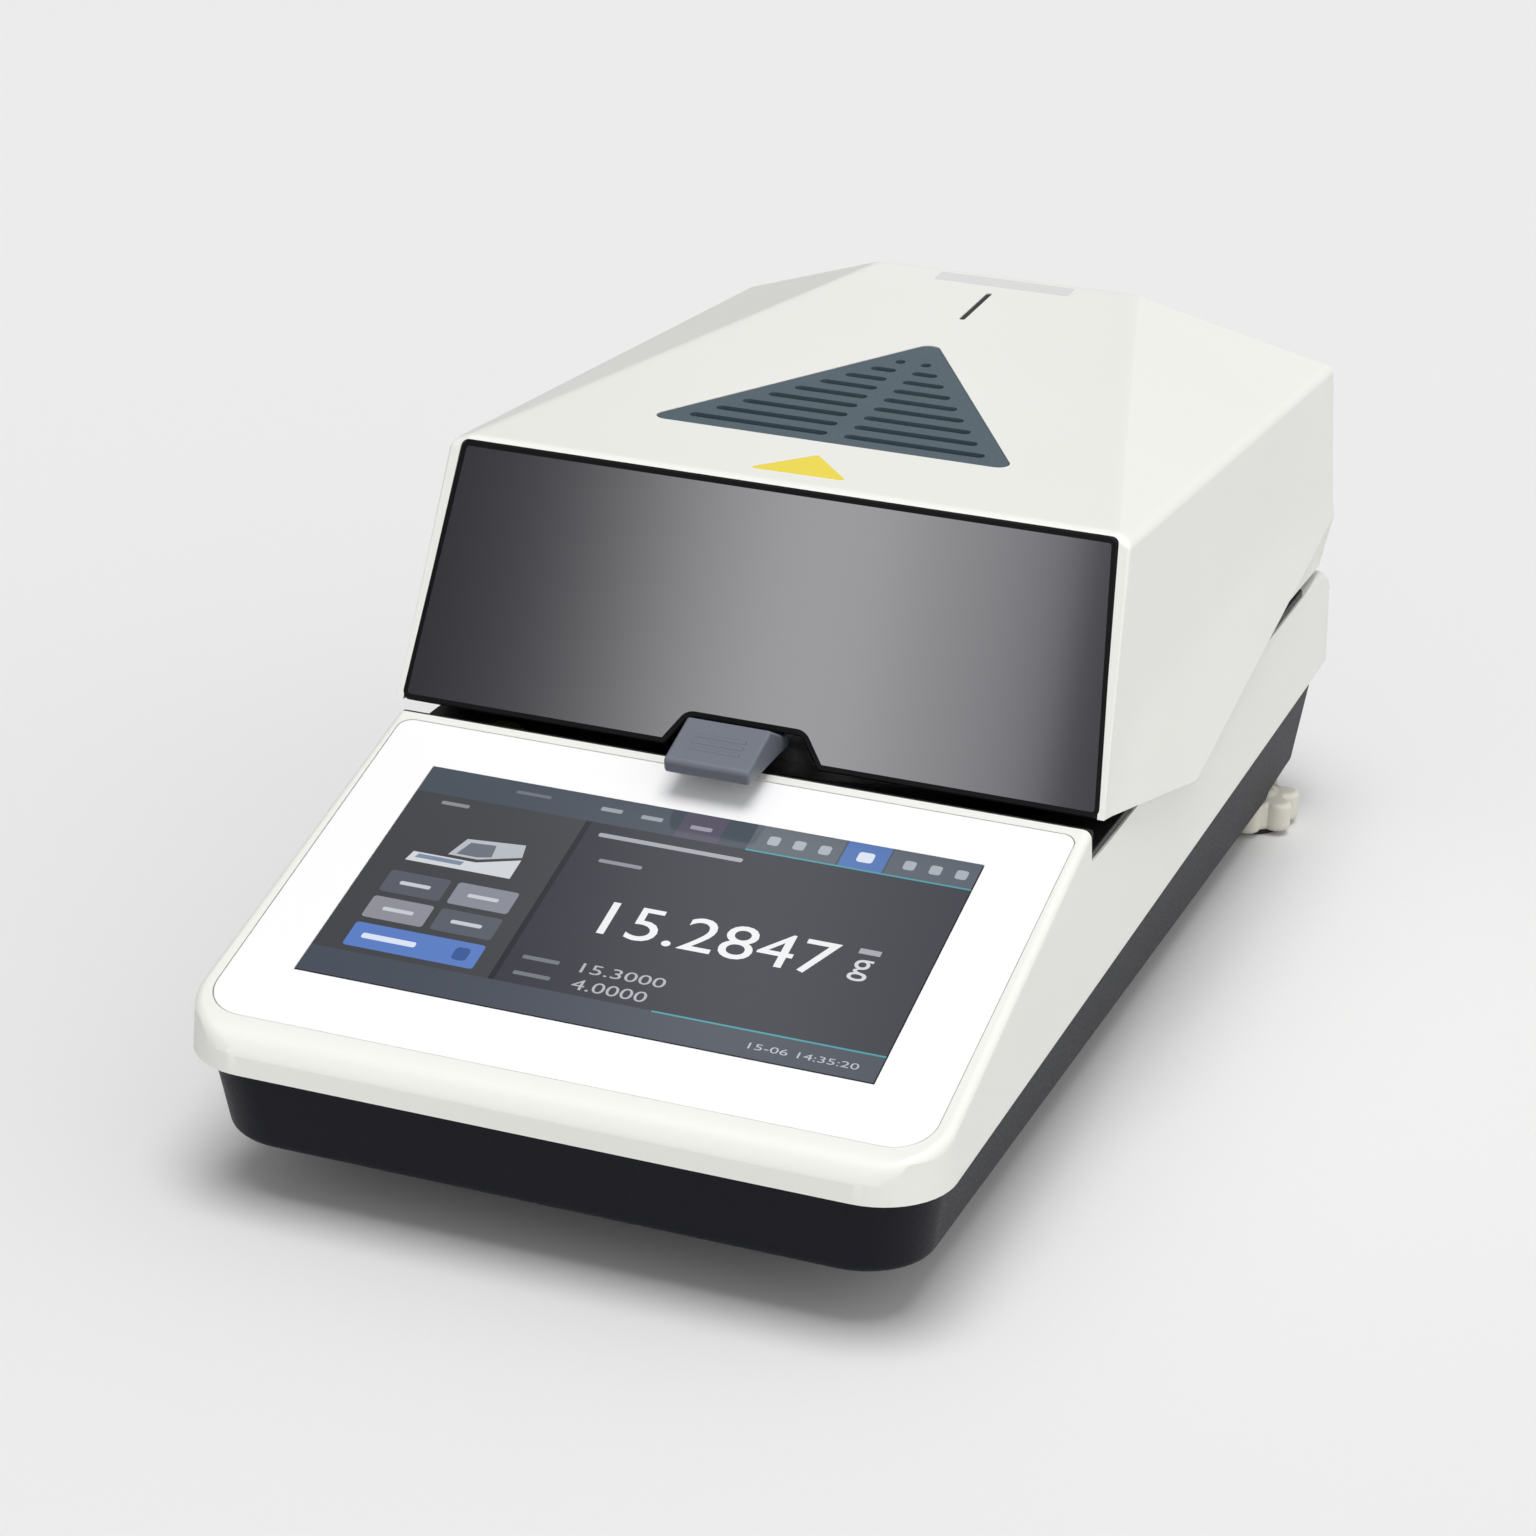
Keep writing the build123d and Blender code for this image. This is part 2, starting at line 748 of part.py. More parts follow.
def load_stem():
    """Post that carries the pan's weight down to the free end of the cell."""
    collar = rod(0, pan_depth, cell_low + cell_height, cell_low + cell_height + 4, 7.0)
    return collar + rod(0, pan_depth, cell_low + cell_height, pan_bottom - 1, load_stem_radius)


def weighing_cell():
    """Beam cell with two thin bending webs, fixed at its rear end and loaded at its front end."""
    front = pan_depth - cell_reach
    beam = block(-cell_width / 2, cell_width / 2, front, front + cell_length, cell_low,
                 cell_low + cell_height)
    gap = block(-cell_width, cell_width, front + cell_free_length,
                front + cell_length - cell_clamp_length,
                cell_low + cell_web, cell_low + cell_height - cell_web)
    return beam - gap


def cell_plate():
    """Base plate of the cell, with a raised pad under the fixed end only."""
    front = pan_depth - cell_reach
    rear = front + cell_length
    plate = block(-cell_plate_half_width, cell_plate_half_width, front, rear,
                  cell_low - cell_plate_thick, cell_low - cell_plate_gap)
    return plate + block(-cell_width / 2, cell_width / 2, rear - cell_fixed_length, rear,
                         cell_low - cell_plate_thick, cell_low)


def main_board():
    """Control board with its larger components, on the tub's ribs."""
    low = rib_top
    board = block(-board_half_width, board_half_width, board_start_depth,
                  board_start_depth + board_length, low, low + board_thick)
    for x, depth, wide, deep, tall in board_chips:
        board += block(x - wide / 2, x + wide / 2, depth - deep / 2, depth + deep / 2,
                       low + board_thick, low + board_thick + tall)
    return board


def power_supply():
    """Encapsulated supply beside the weighing cell."""
    low = floor_height(supply_start_depth) + tub_floor
    body = block(-supply_side_gap - supply_width, -supply_side_gap, supply_start_depth,
                 supply_start_depth + supply_length, low, low + supply_height)
    return chamfer(body.edges().group_by(Axis.Z)[-1], 1.5)


def rear_panel():
    """Connector plate with its four cut-outs."""
    front = tub_rear_depth - rear_panel_thick
    plate = block(-rear_panel_half_width, rear_panel_half_width, front, tub_rear_depth,
                  rear_panel_low, rear_panel_high)
    for x, wide, tall in ((inlet_x, inlet_width, inlet_height),
                          (switch_x, switch_width, switch_height),
                          (usb_x, usb_width, usb_height),
                          (serial_x, serial_width, serial_height)):
        half, rise = wide / 2 + panel_fit, tall / 2 + panel_fit
        plate -= block(x - half, x + half, front - 1, tub_rear_depth + 1,
                       connector_height - rise, connector_height + rise)
    return plate


def socket_body(x, wide, tall, flange, behind, hollow):
    """Connector with a flange on the panel, a body behind it and a mouth open to the rear."""
    face = tub_rear_depth
    z = connector_height
    body = block(x - wide / 2, x + wide / 2, face - behind, face + flange, z - tall / 2,
                 z + tall / 2)
    body += block(x - wide / 2 - flange_width, x + wide / 2 + flange_width, face, face + flange,
                  z - tall / 2 - flange_height, z + tall / 2 + flange_height)
    w = socket_wall
    return body - block(x - wide / 2 + w, x + wide / 2 - w, face - hollow, face + flange + 1,
                        z - tall / 2 + w, z + tall / 2 - w)


def power_inlet():
    """Three-pin mains inlet."""
    inlet = socket_body(inlet_x, inlet_width, inlet_height, inlet_flange, inlet_length,
                        inlet_hollow)
    for x, rise in inlet_pins:
        middle, z = inlet_x + x, connector_height + rise
        inlet += block(middle - pin_half_width, middle + pin_half_width,
                       tub_rear_depth - inlet_hollow - 1, tub_rear_depth - pin_setback,
                       z - pin_half_height, z + pin_half_height)
    return inlet


def switch_housing():
    """Housing round the rocker, with the holes for its pivot pins."""
    housing = socket_body(switch_x, switch_width, switch_height, switch_flange, switch_length,
                          switch_hollow)
    reach = switch_width / 2 - rocker_side_gap
    return housing - axle(switch_x - reach, switch_x + reach, tub_rear_depth - rocker_axis_inset,
                          connector_height, rocker_pin_radius + rocker_pin_clearance)


def power_rocker():
    """Rocker with two sloping faces, on two pins that turn in the housing's walls."""
    face = tub_rear_depth
    z = connector_height
    half = switch_height / 2 - socket_wall - rocker_end_gap
    lean = math.tan(math.radians(rocker_throw / 2)) * half
    back = half - 1.8
    side = [(face - 3, z - back), (face + 0.6, z - half), (face + 2.6 - lean, z - half),
            (face + 2.0, z), (face + 2.6 + lean, z + half), (face + 0.6, z + half),
            (face - 3, z + back)]
    reach = switch_width / 2 - 2 * rocker_side_gap
    pins = axle(switch_x - reach, switch_x + reach, face - rocker_axis_inset, z, rocker_pin_radius)
    return prism(side, switch_width / 2 - socket_wall - rocker_side_gap, switch_x) + pins


def usb_port():
    """Square data socket with its tongue."""
    port = socket_body(usb_x, usb_width, usb_height, usb_flange, usb_length, usb_hollow)
    root = tub_rear_depth - usb_hollow - 0.5
    return port + block(usb_x - usb_tongue_half_width, usb_x + usb_tongue_half_width, root,
                        root + usb_tongue_length, connector_height - usb_tongue_half_height,
                        connector_height + usb_tongue_half_height)


def serial_port():
    """Nine-pin serial port: metal shell with two rows of pins."""
    port = socket_body(serial_x, serial_width, serial_height, serial_flange, serial_length,
                       serial_hollow)
    middle = tub_rear_depth - serial_hollow + serial_pin_length / 3
    for row, count in ((serial_row_offset, 5), (-serial_row_offset, 4)):
        for pin in range(count):
            x = serial_x + (pin - (count - 1) / 2) * serial_pin_pitch
            place = Pos(*at(x, middle, connector_height + row))
            port += place * Rot(90, 0, 0) * Cylinder(serial_pin_radius, serial_pin_length)
    return port


def lid_plane_depth(height):
    """Depth of the lid's sloping front face at a height."""
    run = lid_front_top_depth - lid_front_low_depth
    rise = lid_front_top_height - lid_front_low_height
    return lid_front_low_depth + (height - lid_front_low_height) * run / rise


def side_half(depth, height):
    """Half width of the lid's side face, the plane through its crease and its rear lower corner."""
    slope = (lid_tail_low_half - lid_tail_half) / (lid_tail_height - lid_tail_low_height)
    crease = lid_front_top_height - 1.6
    base = lid_crease_half + (crease - height) * slope
    tail = lid_tail_half - (lid_crease_half + (crease - lid_tail_height) * slope)
    return base + tail * (depth - lid_front_top_depth) / (lid_tail_depth - lid_front_top_depth)


def hood(inset, drop=0.0):
    """Convex body of the lid between its front, top, shoulder, side and rear faces."""
    i = inset
    low = lid_foot_height - drop
    front_low = (lid_plane_depth(low) + i / 0.94, low)
    front_top = (lid_plane_depth(lid_front_top_height) + i, lid_front_top_height - i)
    corners = []
    for s in (1, -1):
        corners += [
            (s * (side_half(front_low[0], low) - i), *front_low),
            (s * (lid_front_top_half - i), *front_top),
            (s * (lid_crease_half - i), front_top[0] - 0.4, front_top[1] - 1.6),
            (s * (lid_back_half - i * 0.6), lid_back_depth - i * 0.5, lid_back_height - i),
            (s * (lid_tail_half - i), lid_tail_depth - i, lid_tail_height - i * 0.6),
            (s * (lid_tail_low_half - i), lid_tail_low_depth - i, lid_tail_low_height),
            (s * (side_half(lid_foot_depth, low) - i), lid_foot_depth - i - drop * 0.4, low),
        ]
    return hull(corners)


def lid_flap(side):
    """Flared side flap whose lower edge dips in a V beside the casing."""
    depth1, depth2 = lid_bend_depths
    high1, high2 = lid_bend_heights
    front = lid_front_low_depth + 0.4
    outer = [
        (lid_front_low_half, front, lid_front_low_height),
        (side_half(depth1, high1), depth1, high1),
        (side_half(depth2, high2), depth2, high2),
        (lid_tail_low_half, lid_tail_low_depth, lid_tail_low_height),
        (lid_flap_half, lid_flap_depth, lid_flap_height),
    ]
    corners = [(side * x, d, h) for x, d, h in outer]
    corners += [(side * (x - lid_wall), d, h) for x, d, h in outer]
    return hull(corners)


def lid_shell():
    """Faceted white lid: a hollow hood, two flared flaps and inner skirts at the rear."""
    body = hood(0)
    flaps = [lid_flap(side) for side in (1, -1)]
    v_edge = [
        (lid_front_low_depth - lid_cut_margin, lid_front_low_height),
        (lid_front_low_depth, lid_front_low_height),
        (lid_flap_depth, lid_flap_height),
        (lid_tail_low_depth, lid_tail_low_height),
        (body_length, lid_tail_low_height + 1),
        (body_length, lid_cut_low_height),
        (lid_front_low_depth - lid_cut_margin, lid_cut_low_height),
    ]
    below = prism(v_edge, lid_flap_half + lid_cut_margin)
    hollow = hood(lid_wall, 12)
    shell = body - hollow
    upper = shell - below
    rear_low = shell & prism([(lid_front_low_depth, lid_front_low_height),
                              (body_length, lid_skirt_top_height),
                              (body_length, lid_skirt_low_height),
                              (lid_flap_depth + lid_skirt_front_gap, lid_skirt_low_height)],
                             lid_skirt_half)
    shell = upper + rear_low
    for flap in flaps:
        shell += flap
    sink = extrude(window_plane() * window_face(window_side_margin, window_gap),
                   amount=-window_thick - 0.05)
    through = extrude(window_plane() * window_face(window_side_margin + ledge_width),
                      amount=-window_thick - 12)
    low_cut = extrude(window_plane() * notch_face(0.3), amount=-window_thick - 2)
    shell = shell - sink - through - low_cut
    vent = extrude(grille_face(-grille_gap), amount=lid_back_height + 10)
    shell -= vent & roof_layer(-5, grille_thick + 0.05)
    shell -= extrude(grille_face(3.0), amount=lid_back_height + 10) & roof_layer(-5, 12)
    for side in (1, -1):
        shell -= block(side * (pocket_inner + 1), side * (pocket_outer - 1), lid_tail_depth - 25,
                       body_length, lid_foot_height - 4, lid_relief_height)
    slot = block(-lid_slot_width / 2, lid_slot_width / 2, lid_slot_depth - lid_slot_length / 2,
                 lid_slot_depth + lid_slot_length / 2, lid_back_height - 3.2, lid_back_height + 5)
    return shell - slot


def window_face(margin, grow=0.0):
    """Outline of the window on the lid's front face, in that face's own plane."""
    top = window_height(lid_front_top_height) - window_top_margin + grow
    low = window_height(lid_front_low_height) - grow
    top_half = lid_front_top_half + 1.6 - margin + grow
    low_half = lid_front_low_half - margin + grow
    face = make_face(Polyline((-low_half, low), (low_half, low), (top_half, top),
                              (-top_half, top), close=True))
    return fillet(face.vertices(), window_radius)


def window_height(height):
    """Distance up the lid's front face from its lower edge."""
    run = lid_front_top_depth - lid_front_low_depth
    rise = lid_front_top_height - lid_front_low_height
    return (height - lid_front_low_height) * math.hypot(run, rise) / rise


def window_plane():
    run = lid_front_top_depth - lid_front_low_depth
    rise = lid_front_top_height - lid_front_low_height
    return Plane(at(0, lid_front_low_depth, lid_front_low_height), x_dir=(1, 0, 0),
                 z_dir=(0, -rise, run))


def notch_face(grow=0.0):
    face = make_face(Polyline((-notch_low_half - grow, -1 - grow), (notch_low_half + grow, -1 - grow),
                              (notch_top_half + grow, notch_rise + grow),
                              (-notch_top_half - grow, notch_rise + grow), close=True))
    return fillet(face.vertices().sort_by(Axis.Y)[-2:], 3.0)


def lid_window():
    """Dark window plate that fills the lid's front, notched round the handle tab."""
    plate = extrude(window_plane() * window_face(window_side_margin), amount=-window_thick)
    return plate - extrude(window_plane() * notch_face(), amount=-window_thick - 1)


def lid_handle():
    """Grey lifting tab that reaches forward through the window's notch."""
    back = lid_plane_depth(tab_root_height) + window_thick + 2
    side = [(tab_tip_depth, tab_tip_height), (tab_tip_depth + 1, tab_tip_height - tab_tip_thick),
            (lid_plane_depth(tab_low_height), tab_low_height), (back, tab_low_height),
            (back, tab_root_height - tab_root_drop),
            (lid_plane_depth(tab_bend_height) + window_thick, tab_root_height - tab_root_drop),
            (tab_root_depth, tab_root_height)]
    tab = prism(side, tab_half_width)
    edges = tab.edges().filter_by(Axis.X).sort_by(Axis.Y)[:2]
    return fillet(edges, tab_radius)


def grille_face(inset=0.0):
    """Triangle of the vent seen from above, with rounded corners."""
    half = grille_half_width - inset * 1.6
    front = grille_start_depth + inset
    rear = grille_end_depth - inset * 1.9
    points = [at(-half, front, 0), at(half, front, 0), at(0, rear, 0)]
    face = make_face(Polyline(*points, close=True))
    return fillet(face.vertices(), grille_corner)


def roof_height(depth):
    """Height of the lid's top face."""
    run = lid_back_depth - lid_front_top_depth
    return lid_front_top_height + (depth - lid_front_top_depth) * (
        lid_back_height - lid_front_top_height) / run


def roof_layer(top, bottom):
    """Slab parallel to the lid's top face between two depths below it."""
    front, rear = grille_start_depth - 10, grille_end_depth + 10
    return prism([(front, roof_height(front) - top), (rear, roof_height(rear) - top),
                  (rear, roof_height(rear) - bottom), (front, roof_height(front) - bottom)],
                 grille_half_width + 5)


def vent_grille():
    """Triangular vent plate with rows of slots either side of a middle rib."""
    body = extrude(grille_face(), amount=lid_back_height + 10) & roof_layer(0.1, grille_thick)
    for row in range(grille_slots):
        depth = grille_start_depth + grille_margin + row * grille_slot_pitch
        reach = grille_half_width * (grille_end_depth - depth) / (
            grille_end_depth - grille_start_depth) - grille_side_margin
        if reach - grille_rib / 2 < grille_shortest_slot:
            continue
        for side in (1, -1):
            body -= block(side * grille_rib / 2, side * reach, depth - grille_slot_width / 2,
                          depth + grille_slot_width / 2, lid_front_top_height - 10,
                          lid_back_height + 5)
    return body


def lid_plate():
    """Steel partition across the lid with the round heater opening."""
    low = lid_plate_low
    front_half = lid_plate_half_width
    face = extrude(outline(front_half, lid_plate_start, lid_plate_end, 4, 4, low),
                   amount=lid_plate_thick)
    face -= rod(0, pan_depth, low - 1, low + 3, heater_hole_radius)
    return face - rod(0, pan_depth + sensor_offset, low - 1, low + 3, sensor_radius + 0.1)


def reflector():
    """Spun reflector over the lamp, with holes for the lamp's legs."""
    t = reflector_sheet
    low, top = reflector_low, reflector_top
    rim = heater_hole_radius
    bowl = turned([(rim + reflector_flange, low), (rim + reflector_flange, low + t), (rim, low + t),
                   (reflector_top_radius, top), (0, top), (0, top - t),
                   (reflector_top_radius - t, top - t), (rim - t, low)])
    for x, depth in leg_places():
        bowl -= rod(x, depth, low + 5, top + 5, lamp_tube_radius + lamp_cap_wall + 1)
    return bowl


def leg_places():
    back = math.sqrt(lamp_ring_radius ** 2 - lamp_leg_half_span ** 2)
    return [(side * lamp_leg_half_span, pan_depth + back) for side in (1, -1)]


def halogen_lamp():
    """Ring lamp: an open glass ring whose two ends run into upright end caps."""
    ring = Pos(*at(0, pan_depth, lamp_height)) * Torus(lamp_ring_radius, lamp_tube_radius)
    ring -= block(-lamp_leg_half_span, lamp_leg_half_span, pan_depth + lamp_gap_start,
                  pan_depth + lamp_gap_end,
                  lamp_height - 10, lamp_height + 10)
    for x, depth in leg_places():
        ring += rod(x, depth, lamp_height - lamp_tube_radius - 1, reflector_top + 3,
                    lamp_tube_radius + lamp_cap_wall)
    return ring


def lamp_holders():
    """Two ceramic holders on the reflector, gripping the ends of the lamp."""
    holders = []
    for x, depth in leg_places():
        piece = block(x - holder_size / 2 + 1, x + holder_size / 2 - 1, depth - holder_size,
                      depth + holder_size / 2, reflector_top, reflector_top + holder_height)
        holders.append(piece - rod(x, depth, reflector_top - 1, reflector_top + 3.2,
                                   lamp_tube_radius + lamp_cap_wall + 0.15))
    return holders


def guard_glass():
    return rod(0, pan_depth, glass_low, lid_plate_low, glass_radius)


def glass_retainer():
    """Stepped ring that holds the glass up against the lid's partition."""
    inner, outer = retainer_inner_radius, retainer_outer_radius
    seat = glass_radius + 0.3
    return turned([(inner, retainer_low), (outer, retainer_low), (outer, lid_plate_low),
                   (seat, lid_plate_low), (seat, glass_low), (inner, glass_low)])


def temperature_sensor():
    """Probe through the partition beside the heater, with a collar above it."""
    depth = pan_depth + sensor_offset
    probe = rod(0, depth, lid_plate_low - sensor_length, reflector_low + 8, sensor_radius)
    return probe + rod(0, depth, reflector_low, reflector_low + 3, sensor_radius * 2.2)


def barrel(side):
    """Hinge barrel on its saddle in the deck's pocket."""
    body = axle(side * barrel_inner, side * barrel_outer, hinge_depth, hinge_height, barrel_radius)
    body += block(side * (barrel_inner + saddle_inset), side * (barrel_outer - saddle_inset),
                  hinge_depth - saddle_half_depth, hinge_depth + saddle_half_depth,
                  pocket_floor_height, hinge_height - 2)
    return body - axle(side * (barrel_outer - barrel_bore), side * (barrel_outer + 1), hinge_depth,
                       hinge_height, hinge_shaft_radius + hinge_clearance)


def lid_motor():
    """Gear motor in the right hinge barrel, which opens and closes the lid."""
    body = barrel(1)
    return body + axle(barrel_inner - cap_thick, barrel_inner, hinge_depth, hinge_height,
                       cap_radius)


def lid_damper():
    return barrel(-1)


def hinge_ear(side):
    """Outer bearing ear of the hinge."""
    ear = axle(side * ear_inner, side * ear_outer, hinge_depth, hinge_height, knuckle_radius)
    ear += block(side * ear_inner, side * ear_outer, hinge_depth - knuckle_radius,
                 hinge_depth + knuckle_radius, pocket_floor_height, hinge_height)
    return ear - axle(side * (ear_inner - 1), side * (ear_outer + 1), hinge_depth, hinge_height,
                      hinge_shaft_radius + hinge_clearance)


def hinge_shaft(side):
    return axle(side * (barrel_outer - shaft_length), side * (ear_outer + 1), hinge_depth,
                hinge_height,
                hinge_shaft_radius)


def hinge_arm(side):
    """Arm from the shaft forward under the lid's partition."""
    front = lid_plate_end - arm_reach
    profile = [(front, lid_plate_low), (lid_plate_end - 1, lid_plate_low),
               (hinge_depth + 2, hinge_height + knuckle_radius - 0.4),
               (hinge_depth + 2, hinge_height - 2), (hinge_depth - knuckle_radius, hinge_height),
               (lid_plate_end - 12, lid_plate_low - 6), (front, lid_plate_low - 4)]
    middle = side * (arm_inner + arm_outer) / 2
    arm = prism(profile, (arm_outer - arm_inner) / 2, middle)
    arm += axle(side * arm_inner, side * arm_outer, hinge_depth, hinge_height, knuckle_radius)
    arm += block(side * (arm_inner - arm_foot_width), side * arm_outer, front, lid_plate_end - 14,
                 lid_plate_low - arm_foot_thick, lid_plate_low)
    return arm - axle(side * (arm_inner - 1), side * (arm_outer + 1), hinge_depth, hinge_height,
                      hinge_shaft_radius + 0.02)


nodes = {
    "upper_casing": upper_casing,
    "display_overlay": display_overlay,
    "display_screen": display_screen,
    "display_bracket": display_bracket,
    "base_tub": base_tub,
    "casing_screws": casing_screws,
    "front_feet": front_feet,
    "foot_insert_right": lambda: foot_insert(1),
    "foot_insert_left": lambda: foot_insert(-1),
    "levelling_wheel_right": lambda: levelling_wheel(1),
    "levelling_wheel_left": lambda: levelling_wheel(-1),
    "foot_pad_right": lambda: foot_pad(1),
    "foot_pad_left": lambda: foot_pad(-1),
    "chamber_tray": chamber_tray,
    "level_vial": level_vial,
    "heat_shield": heat_shield,
    "draft_shield": draft_shield,
    "pan_handler": pan_handler,
    "sample_pan": sample_pan,
    "pan_support": pan_support,
    "load_stem": load_stem,
    "weighing_cell": weighing_cell,
    "cell_plate": cell_plate,
    "main_board": main_board,
    "power_supply": power_supply,
    "rear_panel": rear_panel,
    "power_inlet": power_inlet,
    "switch_housing": switch_housing,
    "power_rocker": power_rocker,
    "usb_port": usb_port,
    "serial_port": serial_port,
    "lid_shell": lid_shell,
    "lid_window": lid_window,
    "lid_handle": lid_handle,
    "vent_grille": vent_grille,
    "lid_plate": lid_plate,
    "reflector": reflector,
    "halogen_lamp": halogen_lamp,
    "lamp_holders": lamp_holders,
    "guard_glass": guard_glass,
    "glass_retainer": glass_retainer,
    "temperature_sensor": temperature_sensor,
    "lid_motor": lid_motor,
    "lid_damper": lid_damper,
    "hinge_ear_right": lambda: hinge_ear(1),
    "hinge_ear_left": lambda: hinge_ear(-1),
    "hinge_shaft_right": lambda: hinge_shaft(1),
    "hinge_shaft_left": lambda: hinge_shaft(-1),
    "hinge_arm_right": lambda: hinge_arm(1),
    "hinge_arm_left": lambda: hinge_arm(-1),
}


def main():
    os.makedirs("parts", exist_ok=True)
    for name, make in nodes.items():
        shape = make()
        solids = shape if isinstance(shape, list) else [shape]
        pieces = [s for item in solids for s in item.solids()]
        export_step(pieces[0] if len(pieces) == 1 else Compound(children=pieces),
                    f"parts/{name}.step")
        print(name, len(pieces))


main()
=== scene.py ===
import math

import bmesh
import bpy
from mathutils import Matrix, Vector


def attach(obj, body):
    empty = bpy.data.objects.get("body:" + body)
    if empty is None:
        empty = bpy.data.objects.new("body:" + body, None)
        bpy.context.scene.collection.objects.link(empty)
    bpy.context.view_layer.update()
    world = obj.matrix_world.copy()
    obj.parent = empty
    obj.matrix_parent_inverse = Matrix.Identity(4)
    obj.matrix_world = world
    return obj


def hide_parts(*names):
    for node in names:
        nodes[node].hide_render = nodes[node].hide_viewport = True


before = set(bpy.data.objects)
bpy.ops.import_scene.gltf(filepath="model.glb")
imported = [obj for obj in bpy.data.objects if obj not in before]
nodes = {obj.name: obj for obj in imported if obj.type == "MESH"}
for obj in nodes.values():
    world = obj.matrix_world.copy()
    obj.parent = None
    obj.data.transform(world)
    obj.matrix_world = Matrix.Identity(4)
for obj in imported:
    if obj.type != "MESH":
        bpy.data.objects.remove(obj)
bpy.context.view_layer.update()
print("frame loaded:", len(nodes), "CAD nodes")

bodyLength = 409.0  # mm, from the front face to the rear face
panelTilt = math.radians(17.2)
panelMiddle = (0.0, 68.8, 72.5)  # x, depth behind the front face, height over the table, mm


def at(x, depth, height):
    # a point in metres from millimetres counted from the front face and the table
    return Vector((x, depth - bodyLength / 2, height)) / 1000


def onPanel(x, up, lift=0.0):
    # a point on the sloping panel: across, up the slope and above it, in mm
    depth = panelMiddle[1] + up * math.cos(panelTilt) - lift * math.sin(panelTilt)
    height = panelMiddle[2] + up * math.sin(panelTilt) + lift * math.cos(panelTilt)
    return at(x, depth, height)


def hexColour(code):
    # an sRGB hex value as the linear colour that the shaders take
    parts = [int(code[i:i + 2], 16) / 255 for i in (1, 3, 5)]
    linear = [c / 12.92 if c <= 0.04045 else ((c + 0.055) / 1.055) ** 2.4 for c in parts]
    return (*linear, 1.0)


def addNode(tree, kind, values=None, links=None, **settings):
    node = tree.nodes.new(kind)
    for key, value in settings.items():
        setattr(node, key, value)
    for key, value in (values or {}).items():
        node.inputs[key].default_value = value
    for key, source in (links or {}).items():
        tree.links.new(source, node.inputs[key])
    return node


def startMaterial(name, **shaderValues):
    # a material with its Principled shader joined up, and the object coordinates that patterns read
    material = bpy.data.materials.new(name)
    material.use_nodes = True
    tree = material.node_tree
    tree.nodes.clear()
    shader = addNode(tree, "ShaderNodeBsdfPrincipled", values=shaderValues)
    addNode(tree, "ShaderNodeOutputMaterial", links={"Surface": shader.outputs[0]})
    place = addNode(tree, "ShaderNodeTexCoord")
    return material, tree, shader, place.outputs["Object"]


def moulded(name, finish):
    # injection-moulded plastic or rubber: faint shade drift, spark-eroded grain, uneven gloss
    material, tree, shader, place = startMaterial(
        name, **{"Metallic": 0.0, "IOR": finish.get("ior", 1.5),
                 "Specular IOR Level": finish.get("shine", 0.5)})
    drift = addNode(tree, "ShaderNodeTexNoise", {"Scale": 1000 / finish["driftMm"], "Detail": 3.0},
                    {"Vector": place})
    shade = addNode(tree, "ShaderNodeMix", {6: hexColour(finish["colour"]),
                                            7: hexColour(finish["drift"])},
                    {0: drift.outputs["Fac"]}, data_type="RGBA")
    grain = addNode(tree, "ShaderNodeTexNoise", {"Scale": 1000 / finish["grainMm"], "Detail": 2.0,
                                                 "Roughness": 0.6}, {"Vector": place})
    gloss = addNode(tree, "ShaderNodeMapRange", {1: 0.3, 2: 0.7, 3: finish["gloss"][0],
                                                 4: finish["gloss"][1]},
                    {0: grain.outputs["Fac"]})
    relief = addNode(tree, "ShaderNodeBump", {"Strength": finish["relief"],
                                              "Distance": finish["reliefMm"] / 1000},
                     {"Height": grain.outputs["Fac"]})
    tree.links.new(shade.outputs[2], shader.inputs["Base Color"])
    tree.links.new(gloss.outputs[0], shader.inputs["Roughness"])
    tree.links.new(relief.outputs[0], shader.inputs["Normal"])
    return material


def worked(name, finish):
    # metal with fine marks: brushing or turning lines stretched along one axis, and clouded gloss
    material, tree, shader, place = startMaterial(name, **{"Metallic": finish.get("metallic", 1.0)})
    stretch = addNode(tree, "ShaderNodeMapping", {"Scale": finish["stretch"]}, {"Vector": place})
    lines = addNode(tree, "ShaderNodeTexNoise", {"Scale": 1000 / finish["lineMm"], "Detail": 4.0,
                                                 "Roughness": 0.65}, {"Vector": stretch.outputs[0]})
    cloud = addNode(tree, "ShaderNodeTexNoise", {"Scale": 1000 / finish["cloudMm"], "Detail": 2.0},
                    {"Vector": place})
    shade = addNode(tree, "ShaderNodeMix", {6: hexColour(finish["colour"]),
                                            7: hexColour(finish["worn"])},
                    {0: cloud.outputs["Fac"]}, data_type="RGBA")
    gloss = addNode(tree, "ShaderNodeMapRange", {1: 0.3, 2: 0.7, 3: finish["gloss"][0],
                                                 4: finish["gloss"][1]},
                    {0: lines.outputs["Fac"]})
    relief = addNode(tree, "ShaderNodeBump", {"Strength": finish["relief"], "Distance": 0.00005},
                     {"Height": lines.outputs["Fac"]})
    tree.links.new(shade.outputs[2], shader.inputs["Base Color"])
    tree.links.new(gloss.outputs[0], shader.inputs["Roughness"])
    tree.links.new(relief.outputs[0], shader.inputs["Normal"])
    return material


